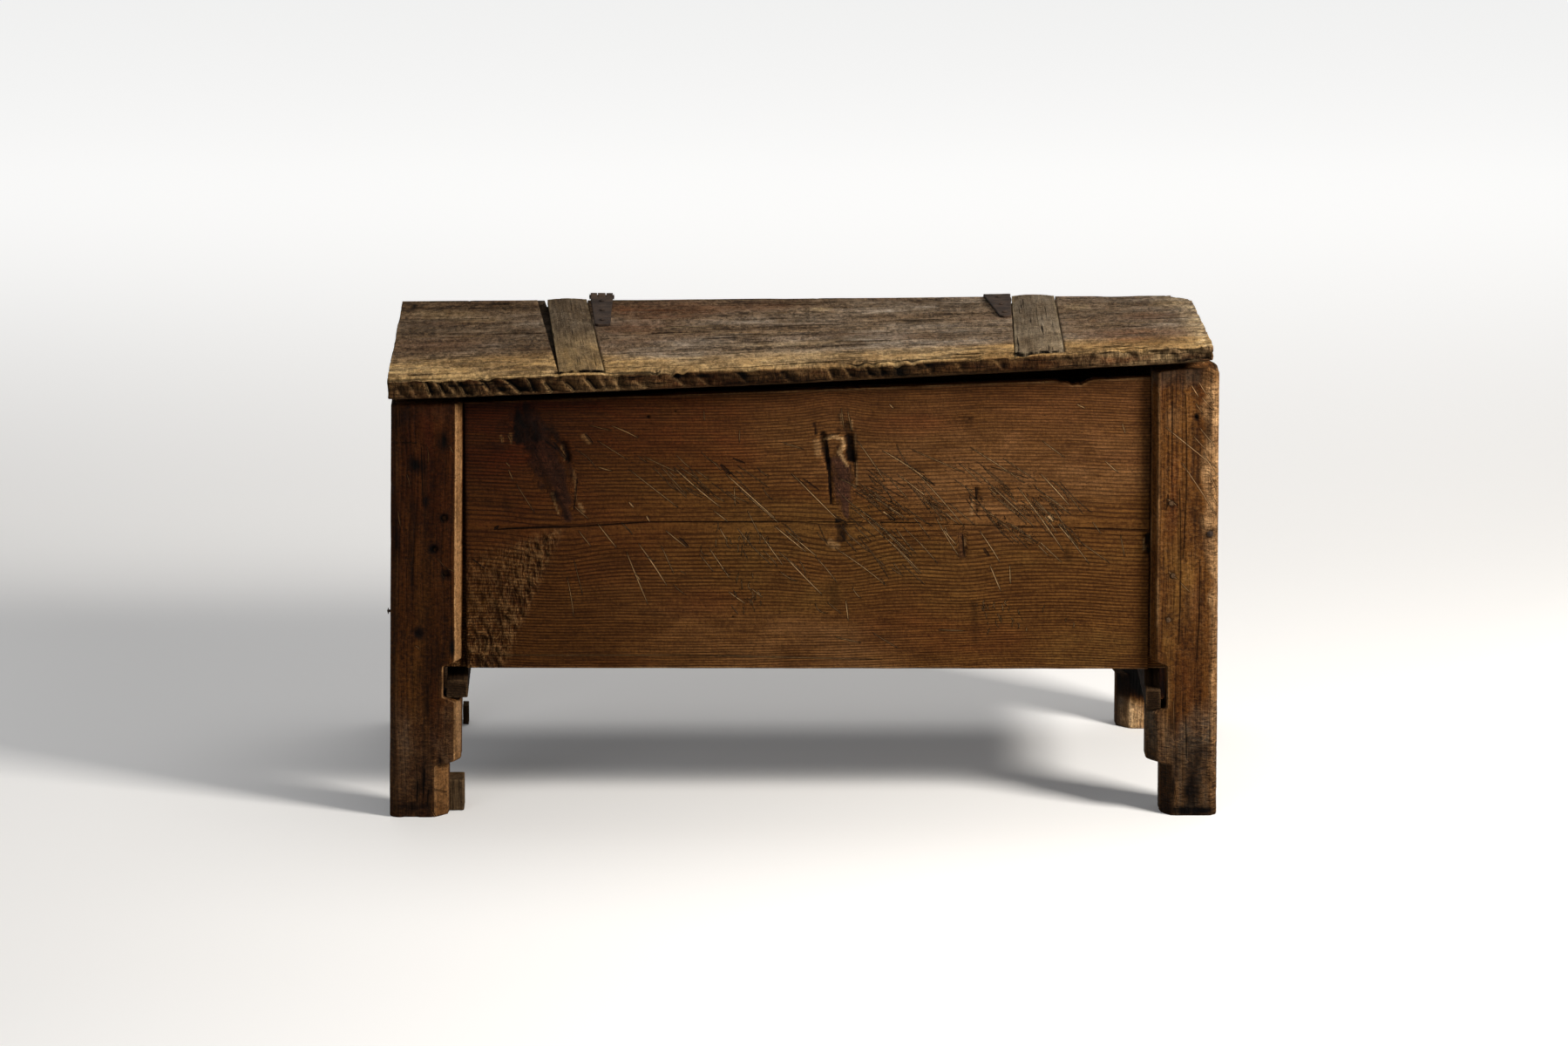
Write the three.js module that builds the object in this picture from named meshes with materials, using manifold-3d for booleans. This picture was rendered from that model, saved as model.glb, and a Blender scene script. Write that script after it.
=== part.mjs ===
// Blanket chest of pine boards, held by four corner posts, with a warped plank lid on strap hinges.
// Units are millimetres. +X is the viewer's right, +Y the back and +Z up. The floor is Z = 0.
// Y = 0 is the front face of the front posts, until the finished chest is centred in the last lines.

import * as THREE from 'three';
import { mergeVertices } from 'three/addons/utils/BufferGeometryUtils.js';
import Module from 'manifold-3d';

const wasm = await Module();
wasm.setup();

// Whole chest
const chestWidth = 1130;
const chestDepth = 512;
const storageFloorHeight = 203;
const panelThickness = 22;

// Clearances
const fitGap = 0.3;
const restGap = 0.5;
const looseGap = 4;
const cutOverrun = 5;

// Lid: heights of its upper face at the four corners, and its thickness there
const lidLeft = -566;
const lidRight = 553;
const lidOverhang = 18;
const lidHeightFrontLeft = 620;
const lidHeightFrontRight = 668;
const lidHeightBackLeft = 616;
const lidHeightBackRight = 622.5;
const lidThicknessFrontLeft = 29.4;
const lidThicknessFrontRight = 25.4;
const lidThicknessBack = 26;
const lidFrontSag = 3.3;
const backBoardWidthLeft = 252;
const backBoardWidthRight = 291;
const lidLengthCells = 16;
const lidDepthCells = 4;

// Corner posts: widths run inwards from the outer face of the chest, and gaps are below the lid
const postDepth = 58;
const postOuterBevel = 8;
const postBackBevel = 3;
const postInnerBevelDepth = 19;
const frontLeftLidGap = 9.1;
const frontRightLidGap = 13.6;
const backLeftLidGap = 3;
const backRightLidGap = 3.5;
const frontLeftWidth = 97.5;
const frontLeftBevel = 9;
const frontRightWidth = 98;
const frontRightUpperWidth = 91.7;
const frontRightBevel = 15.5;
const frontRightUpperBevel = 8.2;
const backLeftWidth = 84;
const backLeftBevel = 10;
const backRightWidth = 124;
const backRightBevel = 18;
const leftSplay = 9.5;
const rightSplay = 3.8;

// Feet: each post is cut back on its inner side near the floor
const footBevelDepth = 18;
const frontLeftFootHeight = 77;
const frontLeftFootWidth = 81;
const frontLeftFootBevel = 19;
const frontRightFootHeight = 73.5;
const frontRightFootWidth = 78.5;
const frontRightFootBevel = 15.5;
const backRightFootHeight = 84;
const backRightFootWidth = 115.5;
const backRightFootBevel = 21;

// Notches that hold the floor bearers: drops and rises are from the storage floor, walls from the
// chest's outer face
const leftNotchDrop = 35;
const leftNotchWall = 72.7;
const frontLeftNotchRise = 14.4;
const rightNotchDrop = 53.5;
const rightNotchWall = 69.8;
const frontRightNotchRise = 12;
const backNotchRise = 3;

// Floor bearers
const leftBearerWidth = 30;
const leftBearerStubHeight = 24.5;
const leftBearerBevel = 7;
const rightBearerWidth = 21.5;
const rightBearerStubHeight = 28;
const rightBearerBevel = 3;
const bearerInset = 5;
const bearerWallGap = 2;
const rightBearerWallGap = 6.5;

// Front panel
const frontPanelInset = 20;
const frontPanelTongue = 44;
const frontPanelTongueRecess = 7;
const frontPanelShoulderLeft = 5;
const frontPanelShoulderRight = 2;
const frontPanelRiseLeft = 4;
const frontPanelDropLeft = 3.5;
const frontPanelDropRight = 14.5;
const chipFrom = 346;
const chipTo = 390;
const chipDepth = 9;

// Back and end panels
const backPanelLap = 30;
const backPanelDropLeft = 1;
const backPanelDropRight = 7;
const endPanelInset = 20;
const endPanelTongue = 14;

// Floor boards
const floorBoardThickness = 20;
const floorBoardCount = 3;
const floorJoint = 0.6;

// Lid battens, let into the lid from above
const battenHousingDepth = 10;
const battenFrontStop = 8;
const battenCells = 8;
const leftBattenBackCentre = -331.5;
const leftBattenFrontCentre = -301;
const leftBattenBackWidth = 55.5;
const leftBattenFrontWidth = 61;
const leftBattenBackProud = 1.5;
const leftBattenFrontProud = 1.5;
const leftHousingGap = 13;
const rightBattenBackCentre = 330;
const rightBattenFrontCentre = 318;
const rightBattenBackWidth = 60;
const rightBattenFrontWidth = 66;
const rightBattenBackProud = 1;
const rightBattenFrontProud = 2.5;

// Strap hinges
const strapThickness = 4;
const strapLength = 205;
const strapCorner = 5;
const eyeRadius = 6.2;
const pinRadius = 3;
const pinGap = 0.3;
const pinHeadRadius = 4;
const pinHeadHeight = 1.5;
const middleEyeShare = 0.36;
const backLeafLength = 125;
const leftStrapBackCentre = -282.2;
const leftStrapBackWidth = 32.5;
const leftStrapTipCentre = -278;
const leftStrapTipWidth = 22;
const rightStrapBackCentre = 278.8;
const rightStrapBackWidth = 39;
const rightStrapTipCentre = 284;
const rightStrapTipWidth = 16.5;
const rightStrapDrop = 4.2;
const rightEyeDrop = 8.7;
const backLeafWidth = 28;
const eyeSegments = 16;

// Forged nails
const nailShankRadius = 2;
const nailTipRadius = 1;
const nailHeadRadius = 4.5;
const nailHeadRim = 0.8;
const nailHeadHeight = 2.4;
const nailCover = 4;
const nailSides = 6;
const strapNailShares = [0.16, 0.5, 0.86];
const leafNailShares = [0.24, 0.53, 0.84];
const sideNailHeight = 288;
const sideNailDepth = 20;
const sideNailLength = 26;
const sideNailStandOff = 3;
const faceNailHeight = 399;
const faceNailInset = 12.5;
const faceNailLength = 40;

// Pegs through the posts and the panels between them
const pegRadius = 4.4;
const pegTipRadius = 3.8;
const pegProud = 0.8;
const pegBite = 8;
const pegSides = 10;
const plugLength = 25;
const leftPegInsets = [75, 63, 76];
const leftPegHeights = [423, 378, 346];
const leftPlugInset = 38.5;
const leftPlugHeight = 262.5;
const rightPegInsets = [66, 62.5, 68];
const rightPegHeights = [441.5, 340, 277.5];
const backPegEdge = 14;
const backPegHeightShares = [0.12, 0.5, 0.88];

// Blocks that widen the worn left feet
const frontBlockWidth = 20;
const frontBlockHeight = 44.5;
const frontBlockInset = 33;
const frontBlockLength = 44;
const backBlockWidth = 9.5;
const backBlockHeight = 29;
const backBlockInset = 30;
const blockBevel = 3;

// Finishes
const postWood = new THREE.MeshStandardMaterial({ color: 0x8a6642, roughness: 0.78, metalness: 0 });
const panelWood = new THREE.MeshStandardMaterial({ color: 0x8f5f33, roughness: 0.62, metalness: 0 });
const lidWood = new THREE.MeshStandardMaterial({ color: 0x8d7553, roughness: 0.85, metalness: 0 });
const battenWood = new THREE.MeshStandardMaterial({ color: 0x7d6b50, roughness: 0.9, metalness: 0 });
const floorWood = new THREE.MeshStandardMaterial({ color: 0x76583a, roughness: 0.85, metalness: 0 });
const bearerWood = new THREE.MeshStandardMaterial({ color: 0x6f5f4c, roughness: 0.9, metalness: 0 });
const blockWood = new THREE.MeshStandardMaterial({ color: 0x9a7d56, roughness: 0.85, metalness: 0 });
const pegWood = new THREE.MeshStandardMaterial({ color: 0x6b4c2e, roughness: 0.7, metalness: 0 });
const forgedIron = new THREE.MeshStandardMaterial({ color: 0x3b3531, roughness: 0.6, metalness: 0.8 });

// Derived places
const halfWidth = chestWidth / 2;
const lidFront = -lidOverhang;
const lidDepth = chestDepth + lidOverhang;
const hingeAxisY = chestDepth + fitGap + eyeRadius;
const hingeAxisLift = fitGap + strapThickness / 2;
const strapBendY = chestDepth + fitGap;
const frontLeftHeight = lidHeightFrontLeft - lidThicknessFrontLeft - frontLeftLidGap;
const frontRightHeight = lidHeightFrontRight - lidThicknessFrontRight - frontRightLidGap;
const backLeftHeight = lidHeightBackLeft - lidThicknessBack - backLeftLidGap;
const backRightHeight = lidHeightBackRight - lidThicknessBack - backRightLidGap;
const frontPanelBottomLeft = storageFloorHeight + frontPanelRiseLeft;
const frontPanelTopLeft = frontLeftHeight - frontPanelDropLeft;
const frontPanelTopRight = frontRightHeight - frontPanelDropRight;
const backPanelTopLeft = backLeftHeight - backPanelDropLeft;
const backPanelTopRight = backRightHeight - backPanelDropRight;
const leftNotchHeight = storageFloorHeight - leftNotchDrop;
const rightNotchHeight = storageFloorHeight - rightNotchDrop;
const backNotchTop = storageFloorHeight + backNotchRise;
const splayHeight = Math.max(frontLeftHeight, frontRightHeight);
const leftSide = -1;
const rightSide = 1;

const chest = new THREE.Group();
const lid = new THREE.Group();
chest.add(lid);

// Solids

function solidOf(geometry) {
  const bare = geometry.index ? geometry.toNonIndexed() : geometry.clone();
  bare.deleteAttribute('normal');
  bare.deleteAttribute('uv');
  const merged = mergeVertices(bare);
  const vertProperties = new Float32Array(merged.attributes.position.array);
  const triVerts = new Uint32Array(merged.index.array);
  return new wasm.Manifold(new wasm.Mesh({ numProp: 3, vertProperties, triVerts }));
}

function geometryOf(solid) {
  const mesh = solid.getMesh();
  const geometry = new THREE.BufferGeometry();
  geometry.setAttribute('position', new THREE.BufferAttribute(mesh.vertProperties, mesh.numProp));
  geometry.setIndex(new THREE.BufferAttribute(mesh.triVerts, 1));
  const flat = geometry.toNonIndexed();
  flat.computeVertexNormals();
  return flat;
}

function cutFrom(geometry, cutters) {
  const start = solidOf(geometry);
  const result = cutters.reduce((solid, cutter) => solid.subtract(solidOf(cutter)), start);
  return geometryOf(result);
}

function joined(geometries) {
  const solids = geometries.map(solidOf);
  return geometryOf(solids.reduce((whole, solid) => whole.add(solid)));
}

function addPiece(name, geometry, material, parent = chest) {
  const mesh = new THREE.Mesh(geometry, material);
  mesh.name = name;
  parent.add(mesh);
}

// Shapes

function outlineShape(points) {
  return new THREE.Shape(points.map(([across, up]) => new THREE.Vector2(across, up)));
}

function extruded(points, depth) {
  const settings = { depth, bevelEnabled: false, steps: 1 };
  return new THREE.ExtrudeGeometry(outlineShape(points), settings);
}

// An outline in X and Y, standing between two heights
function upright(points, low, high) {
  return extruded(points, high - low).translate(0, 0, low);
}

// An outline in X and Z, running from one Y to another
function facingFront(points, front, back) {
  return extruded(points, back - front).rotateX(Math.PI / 2).translate(0, back, 0);
}

// An outline in Y and Z, running from one X to another
function facingSide(points, left, right) {
  const outline = points.map(([y, z]) => [-z, y]);
  return extruded(outline, right - left).rotateY(Math.PI / 2).translate(left, 0, 0);
}

function block(left, right, front, back, low, high) {
  const geometry = new THREE.BoxGeometry(right - left, back - front, high - low);
  return geometry.translate((left + right) / 2, (front + back) / 2, (low + high) / 2);
}

// A round piece along +Z from a profile of radius and height, turned to a direction and set in place
function turned(profile, sides, direction, position) {
  const points = profile.map(([radius, height]) => new THREE.Vector2(radius, height));
  const turn = new THREE.Quaternion().setFromUnitVectors(new THREE.Vector3(0, 0, 1), direction);
  const geometry = new THREE.LatheGeometry(points, sides).rotateX(Math.PI / 2);
  return geometry.applyQuaternion(turn).translate(position.x, position.y, position.z);
}

function rod(radius, length, sides, direction, position) {
  const profile = [[0, 0], [radius, 0], [radius, length], [0, length]];
  return turned(profile, sides, direction, position);
}

function mapVertices(geometry, place) {
  const positions = geometry.attributes.position;
  const point = new THREE.Vector3();
  for (let i = 0; i < positions.count; i += 1) {
    point.fromBufferAttribute(positions, i);
    place(point);
    positions.setXYZ(i, point.x, point.y, point.z);
  }
  return geometry;
}

// Lid surfaces

function betweenCorners(x, y, frontLeft, frontRight, backLeft, backRight) {
  const across = (x - lidLeft) / (lidRight - lidLeft);
  const deep = (y - lidFront) / lidDepth;
  const front = THREE.MathUtils.lerp(frontLeft, frontRight, across);
  const back = THREE.MathUtils.lerp(backLeft, backRight, across);
  return THREE.MathUtils.lerp(front, back, deep);
}

// The front edge of the lid hangs a little between its ends
function lidSag(x, y) {
  const across = (x - lidLeft) / (lidRight - lidLeft);
  const deep = (y - lidFront) / lidDepth;
  return lidFrontSag * 4 * across * (1 - across) * (1 - deep);
}

function lidTop(x, y) {
  const fronts = [lidHeightFrontLeft, lidHeightFrontRight];
  const flat = betweenCorners(x, y, ...fronts, lidHeightBackLeft, lidHeightBackRight);
  return flat - lidSag(x, y);
}

function lidThickness(x, y) {
  const fronts = [lidThicknessFrontLeft, lidThicknessFrontRight];
  return betweenCorners(x, y, ...fronts, lidThicknessBack, lidThicknessBack);
}

function lidUnderside(x, y) {
  return lidTop(x, y) - lidThickness(x, y);
}

// The direction that looks straight out of the lid's upper face at a place
function lidNormal(x, y) {
  const slopeAcross = (lidTop(lidRight, y) - lidTop(lidLeft, y)) / (lidRight - lidLeft);
  const slopeDeep = (lidTop(x, chestDepth) - lidTop(x, lidFront)) / lidDepth;
  return new THREE.Vector3(-slopeAcross, -slopeDeep, 1).normalize();
}

// The hinge axis is one straight line. It runs lower past the right hinge than past the left one
function hingeAxisHeight(x) {
  const left = lidTop(leftStrapBackCentre, chestDepth) + hingeAxisLift;
  const right = lidTop(rightStrapBackCentre, chestDepth) + hingeAxisLift - rightEyeDrop;
  const along = (x - leftStrapBackCentre) / (rightStrapBackCentre - leftStrapBackCentre);
  return THREE.MathUtils.lerp(left, right, along);
}

// Fastenings

const towardsFront = new THREE.Vector3(0, -1, 0);
const towardsBack = new THREE.Vector3(0, 1, 0);
const towardsLeft = new THREE.Vector3(-1, 0, 0);
const towardsRight = new THREE.Vector3(1, 0, 0);

// A nail whose head sits at a point and looks along a direction
function nail(length, direction, position) {
  const profile = [
    [0, -length],
    [nailTipRadius, -length],
    [nailShankRadius, 0],
    [nailHeadRadius, 0],
    [nailHeadRadius, nailHeadRim],
    [0, nailHeadHeight],
  ];
  return turned(profile, nailSides, direction, position);
}

function nailHole(length, direction, position) {
  const start = position.clone().addScaledVector(direction, -length - fitGap);
  return rod(nailShankRadius + fitGap, length + fitGap + cutOverrun, nailSides, direction, start);
}

// A wooden peg whose head looks along a direction, a little proud of a point on the face
function peg(length, direction, position) {
  const profile = [
    [0, -length],
    [pegTipRadius, -length],
    [pegRadius, 0],
    [pegRadius, pegProud],
    [0, pegProud],
  ];
  return turned(profile, pegSides, direction, position);
}

function pegHole(length, direction, position) {
  const start = position.clone().addScaledVector(direction, -length - fitGap);
  return rod(pegRadius + fitGap, length + fitGap + cutOverrun, pegSides, direction, start);
}

// Places of pegs and nails, shared by the pieces that they pass through

const frontPegLength = frontPanelInset + panelThickness + pegBite;

function frontPegs(side, insets, heights, length, label) {
  return insets.map((inset, index) => ({
    name: `peg_${label}_${index + 1}`,
    length,
    direction: towardsFront,
    position: new THREE.Vector3(side * (halfWidth - inset), 0, heights[index]),
  }));
}

const leftPegs = frontPegs(leftSide, leftPegInsets, leftPegHeights, frontPegLength, 'front_left');
const rightPegs = frontPegs(rightSide, rightPegInsets, rightPegHeights, frontPegLength, 'front_right');
const leftPlug = frontPegs(leftSide, [leftPlugInset], [leftPlugHeight], plugLength, 'plug')[0];

function backPegs(side, postWidth, panelTop, label) {
  const inset = postWidth - backPanelLap + backPegEdge;
  return backPegHeightShares.map((share, index) => ({
    name: `peg_back_${label}_${index + 1}`,
    length: panelThickness + pegBite,
    direction: towardsBack,
    position: new THREE.Vector3(
      side * (halfWidth - inset),
      chestDepth,
      THREE.MathUtils.lerp(storageFloorHeight, panelTop, share),
    ),
  }));
}

const backLeftPegs = backPegs(leftSide, backLeftWidth, backPanelTopLeft, 'left');
const backRightPegs = backPegs(rightSide, backRightWidth, backPanelTopRight, 'right');
const pegHoleOf = (item) => pegHole(item.length, item.direction, item.position);

const sideNail = {
  length: sideNailLength,
  direction: towardsLeft,
  position: new THREE.Vector3(-halfWidth - sideNailStandOff, sideNailDepth, sideNailHeight),
};
const faceNail = {
  length: faceNailLength,
  direction: towardsFront,
  position: new THREE.Vector3(halfWidth - faceNailInset, -fitGap, faceNailHeight),
};
const nailHoleOf = (item) => nailHole(item.length, item.direction, item.position);

// Corner posts

function postX(side, inset) {
  return side * (halfWidth - inset);
}

// The posts lean out a little towards the floor
function splayed(geometry, side, splay) {
  return mapVertices(geometry, (point) => {
    point.x += side * splay * (0.5 - point.z / splayHeight);
  });
}

function postSection(post) {
  const front = post.front;
  const back = post.front + postDepth;
  const corners = [
    [0, front + postOuterBevel],
    [postOuterBevel, front],
    [post.width - post.bevel, front],
    [post.width, front + postInnerBevelDepth],
    [post.width, back - postBackBevel],
    [post.width - postBackBevel, back],
    [postBackBevel, back],
    [0, back - postBackBevel],
  ];
  return corners.map(([inset, y]) => [postX(post.side, inset), y]);
}

// Takes the inner side of a post back to a width, with a bevel on its front corner
function innerCutter(post, width, bevel, bevelDepth, low, high) {
  const front = post.front;
  const back = post.front + postDepth;
  const outside = post.width + cutOverrun;
  const corners = [
    [width - bevel, front - cutOverrun],
    [width - bevel, front],
    [width, front + bevelDepth],
    [width, back + cutOverrun],
    [outside, back + cutOverrun],
    [outside, front - cutOverrun],
  ];
  const points = corners.map(([inset, y]) => [postX(post.side, inset), y]);
  return splayed(upright(points, low, high), post.side, post.splay);
}

function sideBlock(side, insetFrom, insetTo, front, back, low, high) {
  const ends = [postX(side, insetFrom), postX(side, insetTo)];
  return block(Math.min(...ends), Math.max(...ends), front, back, low, high);
}

function notchCutter(post) {
  const front = post.front - cutOverrun;
  const back = post.front + postDepth + cutOverrun;
  const reach = post.width + cutOverrun;
  const span = [post.notchWall, reach, front, back, post.notchLow, post.notchTop];
  return splayed(sideBlock(post.side, ...span), post.side, post.splay);
}

function endPanelGroove(post, front, back) {
  const insetFrom = endPanelInset - fitGap;
  const insetTo = endPanelInset + panelThickness + fitGap;
  const low = storageFloorHeight - fitGap;
  return sideBlock(post.side, insetFrom, insetTo, front, back, low, post.height + cutOverrun);
}

function makePost(post, cutters) {
  const body = splayed(upright(postSection(post), 0, post.height), post.side, post.splay);
  addPiece(post.name, cutFrom(body, [notchCutter(post), ...cutters]), postWood);
}

const frontLeftPost = {
  name: 'post_front_left',
  side: leftSide,
  splay: leftSplay,
  front: 0,
  height: frontLeftHeight,
  width: frontLeftWidth,
  upperWidth: frontLeftWidth,
  bevel: frontLeftBevel,
  notchWall: leftNotchWall,
  notchLow: leftNotchHeight,
  notchTop: storageFloorHeight + frontLeftNotchRise,
};

const frontRightPost = {
  name: 'post_front_right',
  side: rightSide,
  splay: rightSplay,
  front: 0,
  height: frontRightHeight,
  width: frontRightWidth,
  upperWidth: frontRightUpperWidth,
  bevel: frontRightBevel,
  notchWall: rightNotchWall,
  notchLow: rightNotchHeight,
  notchTop: storageFloorHeight + frontRightNotchRise,
};

const backLeftPost = {
  name: 'post_back_left',
  side: leftSide,
  splay: leftSplay,
  front: chestDepth - postDepth,
  height: backLeftHeight,
  width: backLeftWidth,
  bevel: backLeftBevel,
  notchWall: leftNotchWall,
  notchLow: leftNotchHeight,
  notchTop: backNotchTop,
};

const backRightPost = {
  name: 'post_back_right',
  side: rightSide,
  splay: rightSplay,
  front: chestDepth - postDepth,
  height: backRightHeight,
  width: backRightWidth,
  bevel: backRightBevel,
  notchWall: rightNotchWall,
  notchLow: rightNotchHeight,
  notchTop: backNotchTop,
};

function frontPanelGroove(post, panelBottom) {
  const insetFrom = post.upperWidth - frontPanelTongue - fitGap;
  const insetTo = post.width + cutOverrun;
  const front = frontPanelInset + frontPanelTongueRecess - fitGap;
  const back = frontPanelInset + panelThickness + fitGap;
  const high = post.height + cutOverrun;
  return sideBlock(post.side, insetFrom, insetTo, front, back, panelBottom - fitGap, high);
}

function frontPostGrooves(post, panelBottom) {
  const grooveFront = postDepth - endPanelTongue - fitGap;
  return [
    frontPanelGroove(post, panelBottom),
    endPanelGroove(post, grooveFront, postDepth + cutOverrun),
  ];
}

function footCutter(post, width, bevel, height) {
  return innerCutter(post, width, bevel, footBevelDepth, -cutOverrun, height);
}

function makeFrontLeftPost() {
  const foot = footCutter(frontLeftPost, frontLeftFootWidth, frontLeftFootBevel, frontLeftFootHeight);
  makePost(frontLeftPost, [
    foot,
    ...frontPostGrooves(frontLeftPost, frontPanelBottomLeft),
    ...leftPegs.map(pegHoleOf),
    pegHoleOf(leftPlug),
    nailHoleOf(sideNail),
  ]);
}

function makeFrontRightPost() {
  const post = frontRightPost;
  const foot = footCutter(post, frontRightFootWidth, frontRightFootBevel, frontRightFootHeight);
  const slimming = innerCutter(
    post,
    frontRightUpperWidth,
    frontRightUpperBevel,
    postInnerBevelDepth,
    (post.notchLow + post.notchTop) / 2,
    post.height + cutOverrun,
  );
  makePost(post, [
    foot,
    slimming,
    ...frontPostGrooves(post, storageFloorHeight),
    ...rightPegs.map(pegHoleOf),
    nailHoleOf(faceNail),
  ]);
}

function backPostCutters(post, pegs) {
  const rebateInset = post.width - backPanelLap - fitGap;
  const rebate = sideBlock(
    post.side,
    rebateInset,
    post.width + cutOverrun,
    chestDepth - panelThickness - fitGap,
    chestDepth + cutOverrun,
    storageFloorHeight - fitGap,
    post.height + cutOverrun,
  );
  const groove = endPanelGroove(post, post.front - cutOverrun, post.front + endPanelTongue + fitGap);
  return [rebate, groove, ...pegs.map(pegHoleOf)];
}

function makeBackPosts() {
  const rightFoot = footCutter(
    backRightPost,
    backRightFootWidth,
    backRightFootBevel,
    backRightFootHeight,
  );
  makePost(backLeftPost, backPostCutters(backLeftPost, backLeftPegs));
  makePost(backRightPost, [rightFoot, ...backPostCutters(backRightPost, backRightPegs)]);
}

// Panels

// Takes the face of the front panel back to its tongue, from a shoulder just clear of the post
function tongueRecess(side, postWidth, shoulderGap) {
  const front = frontPanelInset - cutOverrun;
  const back = frontPanelInset + frontPanelTongueRecess;
  const high = Math.max(frontPanelTopLeft, frontPanelTopRight) + cutOverrun;
  const low = storageFloorHeight - cutOverrun;
  return sideBlock(side, -cutOverrun, postWidth + shoulderGap, front, back, low, high);
}

function makeFrontPanel() {
  const left = postX(leftSide, frontLeftWidth - frontPanelTongue);
  const right = postX(rightSide, frontRightUpperWidth - frontPanelTongue);
  const slope = (frontPanelTopRight - frontPanelTopLeft) / (right - left);
  const topAt = (x) => frontPanelTopLeft + slope * (x - left);
  const points = [
    [left, frontPanelBottomLeft],
    [right, storageFloorHeight],
    [right, frontPanelTopRight],
    [chipTo + chipDepth, topAt(chipTo + chipDepth)],
    [chipTo, topAt(chipTo) - chipDepth],
    [chipFrom + chipDepth, topAt(chipFrom) - chipDepth],
    [chipFrom, topAt(chipFrom)],
    [left, frontPanelTopLeft],
  ];
  const board = facingFront(points, frontPanelInset, frontPanelInset + panelThickness);
  const recesses = [
    tongueRecess(leftSide, frontLeftWidth, frontPanelShoulderLeft),
    tongueRecess(rightSide, frontRightUpperWidth, frontPanelShoulderRight),
  ];
  const holes = [...leftPegs, ...rightPegs].map(pegHoleOf);
  addPiece('front_panel', cutFrom(board, [...recesses, ...holes]), panelWood);
}

function makeBackPanel() {
  const left = postX(leftSide, backLeftWidth - backPanelLap);
  const right = postX(rightSide, backRightWidth - backPanelLap);
  const front = chestDepth - panelThickness;
  const points = [
    [left, storageFloorHeight],
    [right, storageFloorHeight],
    [right, backPanelTopRight],
    [left, backPanelTopLeft],
  ];
  const board = facingFront(points, front, chestDepth);
  const holes = [...backLeftPegs, ...backRightPegs].map(pegHoleOf);
  const nailHoles = hinges.flatMap((hinge) => leafNails(hinge).map(nailHoleOf));
  addPiece('back_panel', cutFrom(board, [...holes, ...nailHoles]), panelWood);
}

function makeEndPanel(name, side) {
  const front = postDepth - endPanelTongue;
  const back = chestDepth - postDepth + endPanelTongue;
  const outer = postX(side, endPanelInset);
  const inner = postX(side, endPanelInset + panelThickness);
  const left = Math.min(outer, inner);
  const right = Math.max(outer, inner);
  const points = [
    [front, storageFloorHeight],
    [back, storageFloorHeight],
    [back, lidUnderside(left, back) - restGap],
    [front, lidUnderside(left, front) - restGap],
  ];
  addPiece(name, facingSide(points, left, right), panelWood);
}

// Floor boards, cut round the posts at the corners

function postClearance(post, front, back) {
  const span = [-cutOverrun, post.width + looseGap, front, back];
  const low = storageFloorHeight - cutOverrun;
  return sideBlock(post.side, ...span, low, storageFloorHeight + floorBoardThickness + cutOverrun);
}

function makeFloorBoards() {
  const inside = endPanelInset + panelThickness + restGap;
  const front = frontPanelInset + panelThickness + restGap;
  const back = chestDepth - panelThickness - restGap;
  const pitch = (back - front + floorJoint) / floorBoardCount;
  const top = storageFloorHeight + floorBoardThickness;
  const frontCutEnd = postDepth + looseGap;
  const backCutStart = chestDepth - postDepth - looseGap;
  const corners = [
    postClearance(frontLeftPost, 0, frontCutEnd),
    postClearance(frontRightPost, 0, frontCutEnd),
    postClearance(backLeftPost, backCutStart, chestDepth),
    postClearance(backRightPost, backCutStart, chestDepth),
  ];
  for (let i = 0; i < floorBoardCount; i += 1) {
    const start = front + i * pitch;
    const end = start + pitch - floorJoint;
    const span = [postX(leftSide, inside), postX(rightSide, inside), start, end];
    const board = block(...span, storageFloorHeight, top);
    addPiece(`floor_board_${i + 1}`, cutFrom(board, corners), floorWood);
  }
}

// Bearers run from front to back under the floor boards and rest in the notches of the posts

function makeBearer(name, side, wall, width, notchLow, stubHeight, bevel) {
  const low = notchLow + fitGap;
  const top = storageFloorHeight - fitGap;
  const front = bearerInset;
  const back = chestDepth - bearerInset;
  const stubBack = frontPanelInset + panelThickness + restGap;
  const points = [
    [front, low + bevel],
    [front + bevel, low],
    [back - bevel, low],
    [back, low + bevel],
    [back, top],
    [stubBack, top],
    [stubBack, low + stubHeight],
    [front, low + stubHeight],
  ];
  const ends = [postX(side, wall), postX(side, wall + width)];
  addPiece(name, facingSide(points, Math.min(...ends), Math.max(...ends)), bearerWood);
}

function makeBearers() {
  const leftWall = leftNotchWall + bearerWallGap;
  const rightWall = rightNotchWall + rightBearerWallGap;
  const leftSizes = [leftBearerWidth, leftNotchHeight, leftBearerStubHeight, leftBearerBevel];
  const rightSizes = [rightBearerWidth, rightNotchHeight, rightBearerStubHeight, rightBearerBevel];
  makeBearer('floor_bearer_left', leftSide, leftWall, ...leftSizes);
  makeBearer('floor_bearer_right', rightSide, rightWall, ...rightSizes);
}

// Blocks on the inner side of the left feet

function footBlock(insideWidth, width, front, back, height) {
  const wall = -halfWidth + insideWidth + fitGap - leftSplay * (0.5 - height / splayHeight);
  const tip = wall + width;
  const points = [
    [wall, front],
    [tip - blockBevel, front],
    [tip, front + blockBevel],
    [tip, back],
    [wall, back],
  ];
  return upright(points, 0, height);
}

function makeFootBlocks() {
  const frontEnd = frontBlockInset + frontBlockLength;
  const frontSpan = [frontLeftFootWidth, frontBlockWidth, frontBlockInset, frontEnd];
  addPiece('foot_block_front', footBlock(...frontSpan, frontBlockHeight), blockWood);
  const backStart = chestDepth - postDepth + backBlockInset;
  const backSpan = [backLeftWidth, backBlockWidth, backStart, chestDepth];
  addPiece('foot_block_back', footBlock(...backSpan, backBlockHeight), blockWood);
}

// Lid boards

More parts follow.
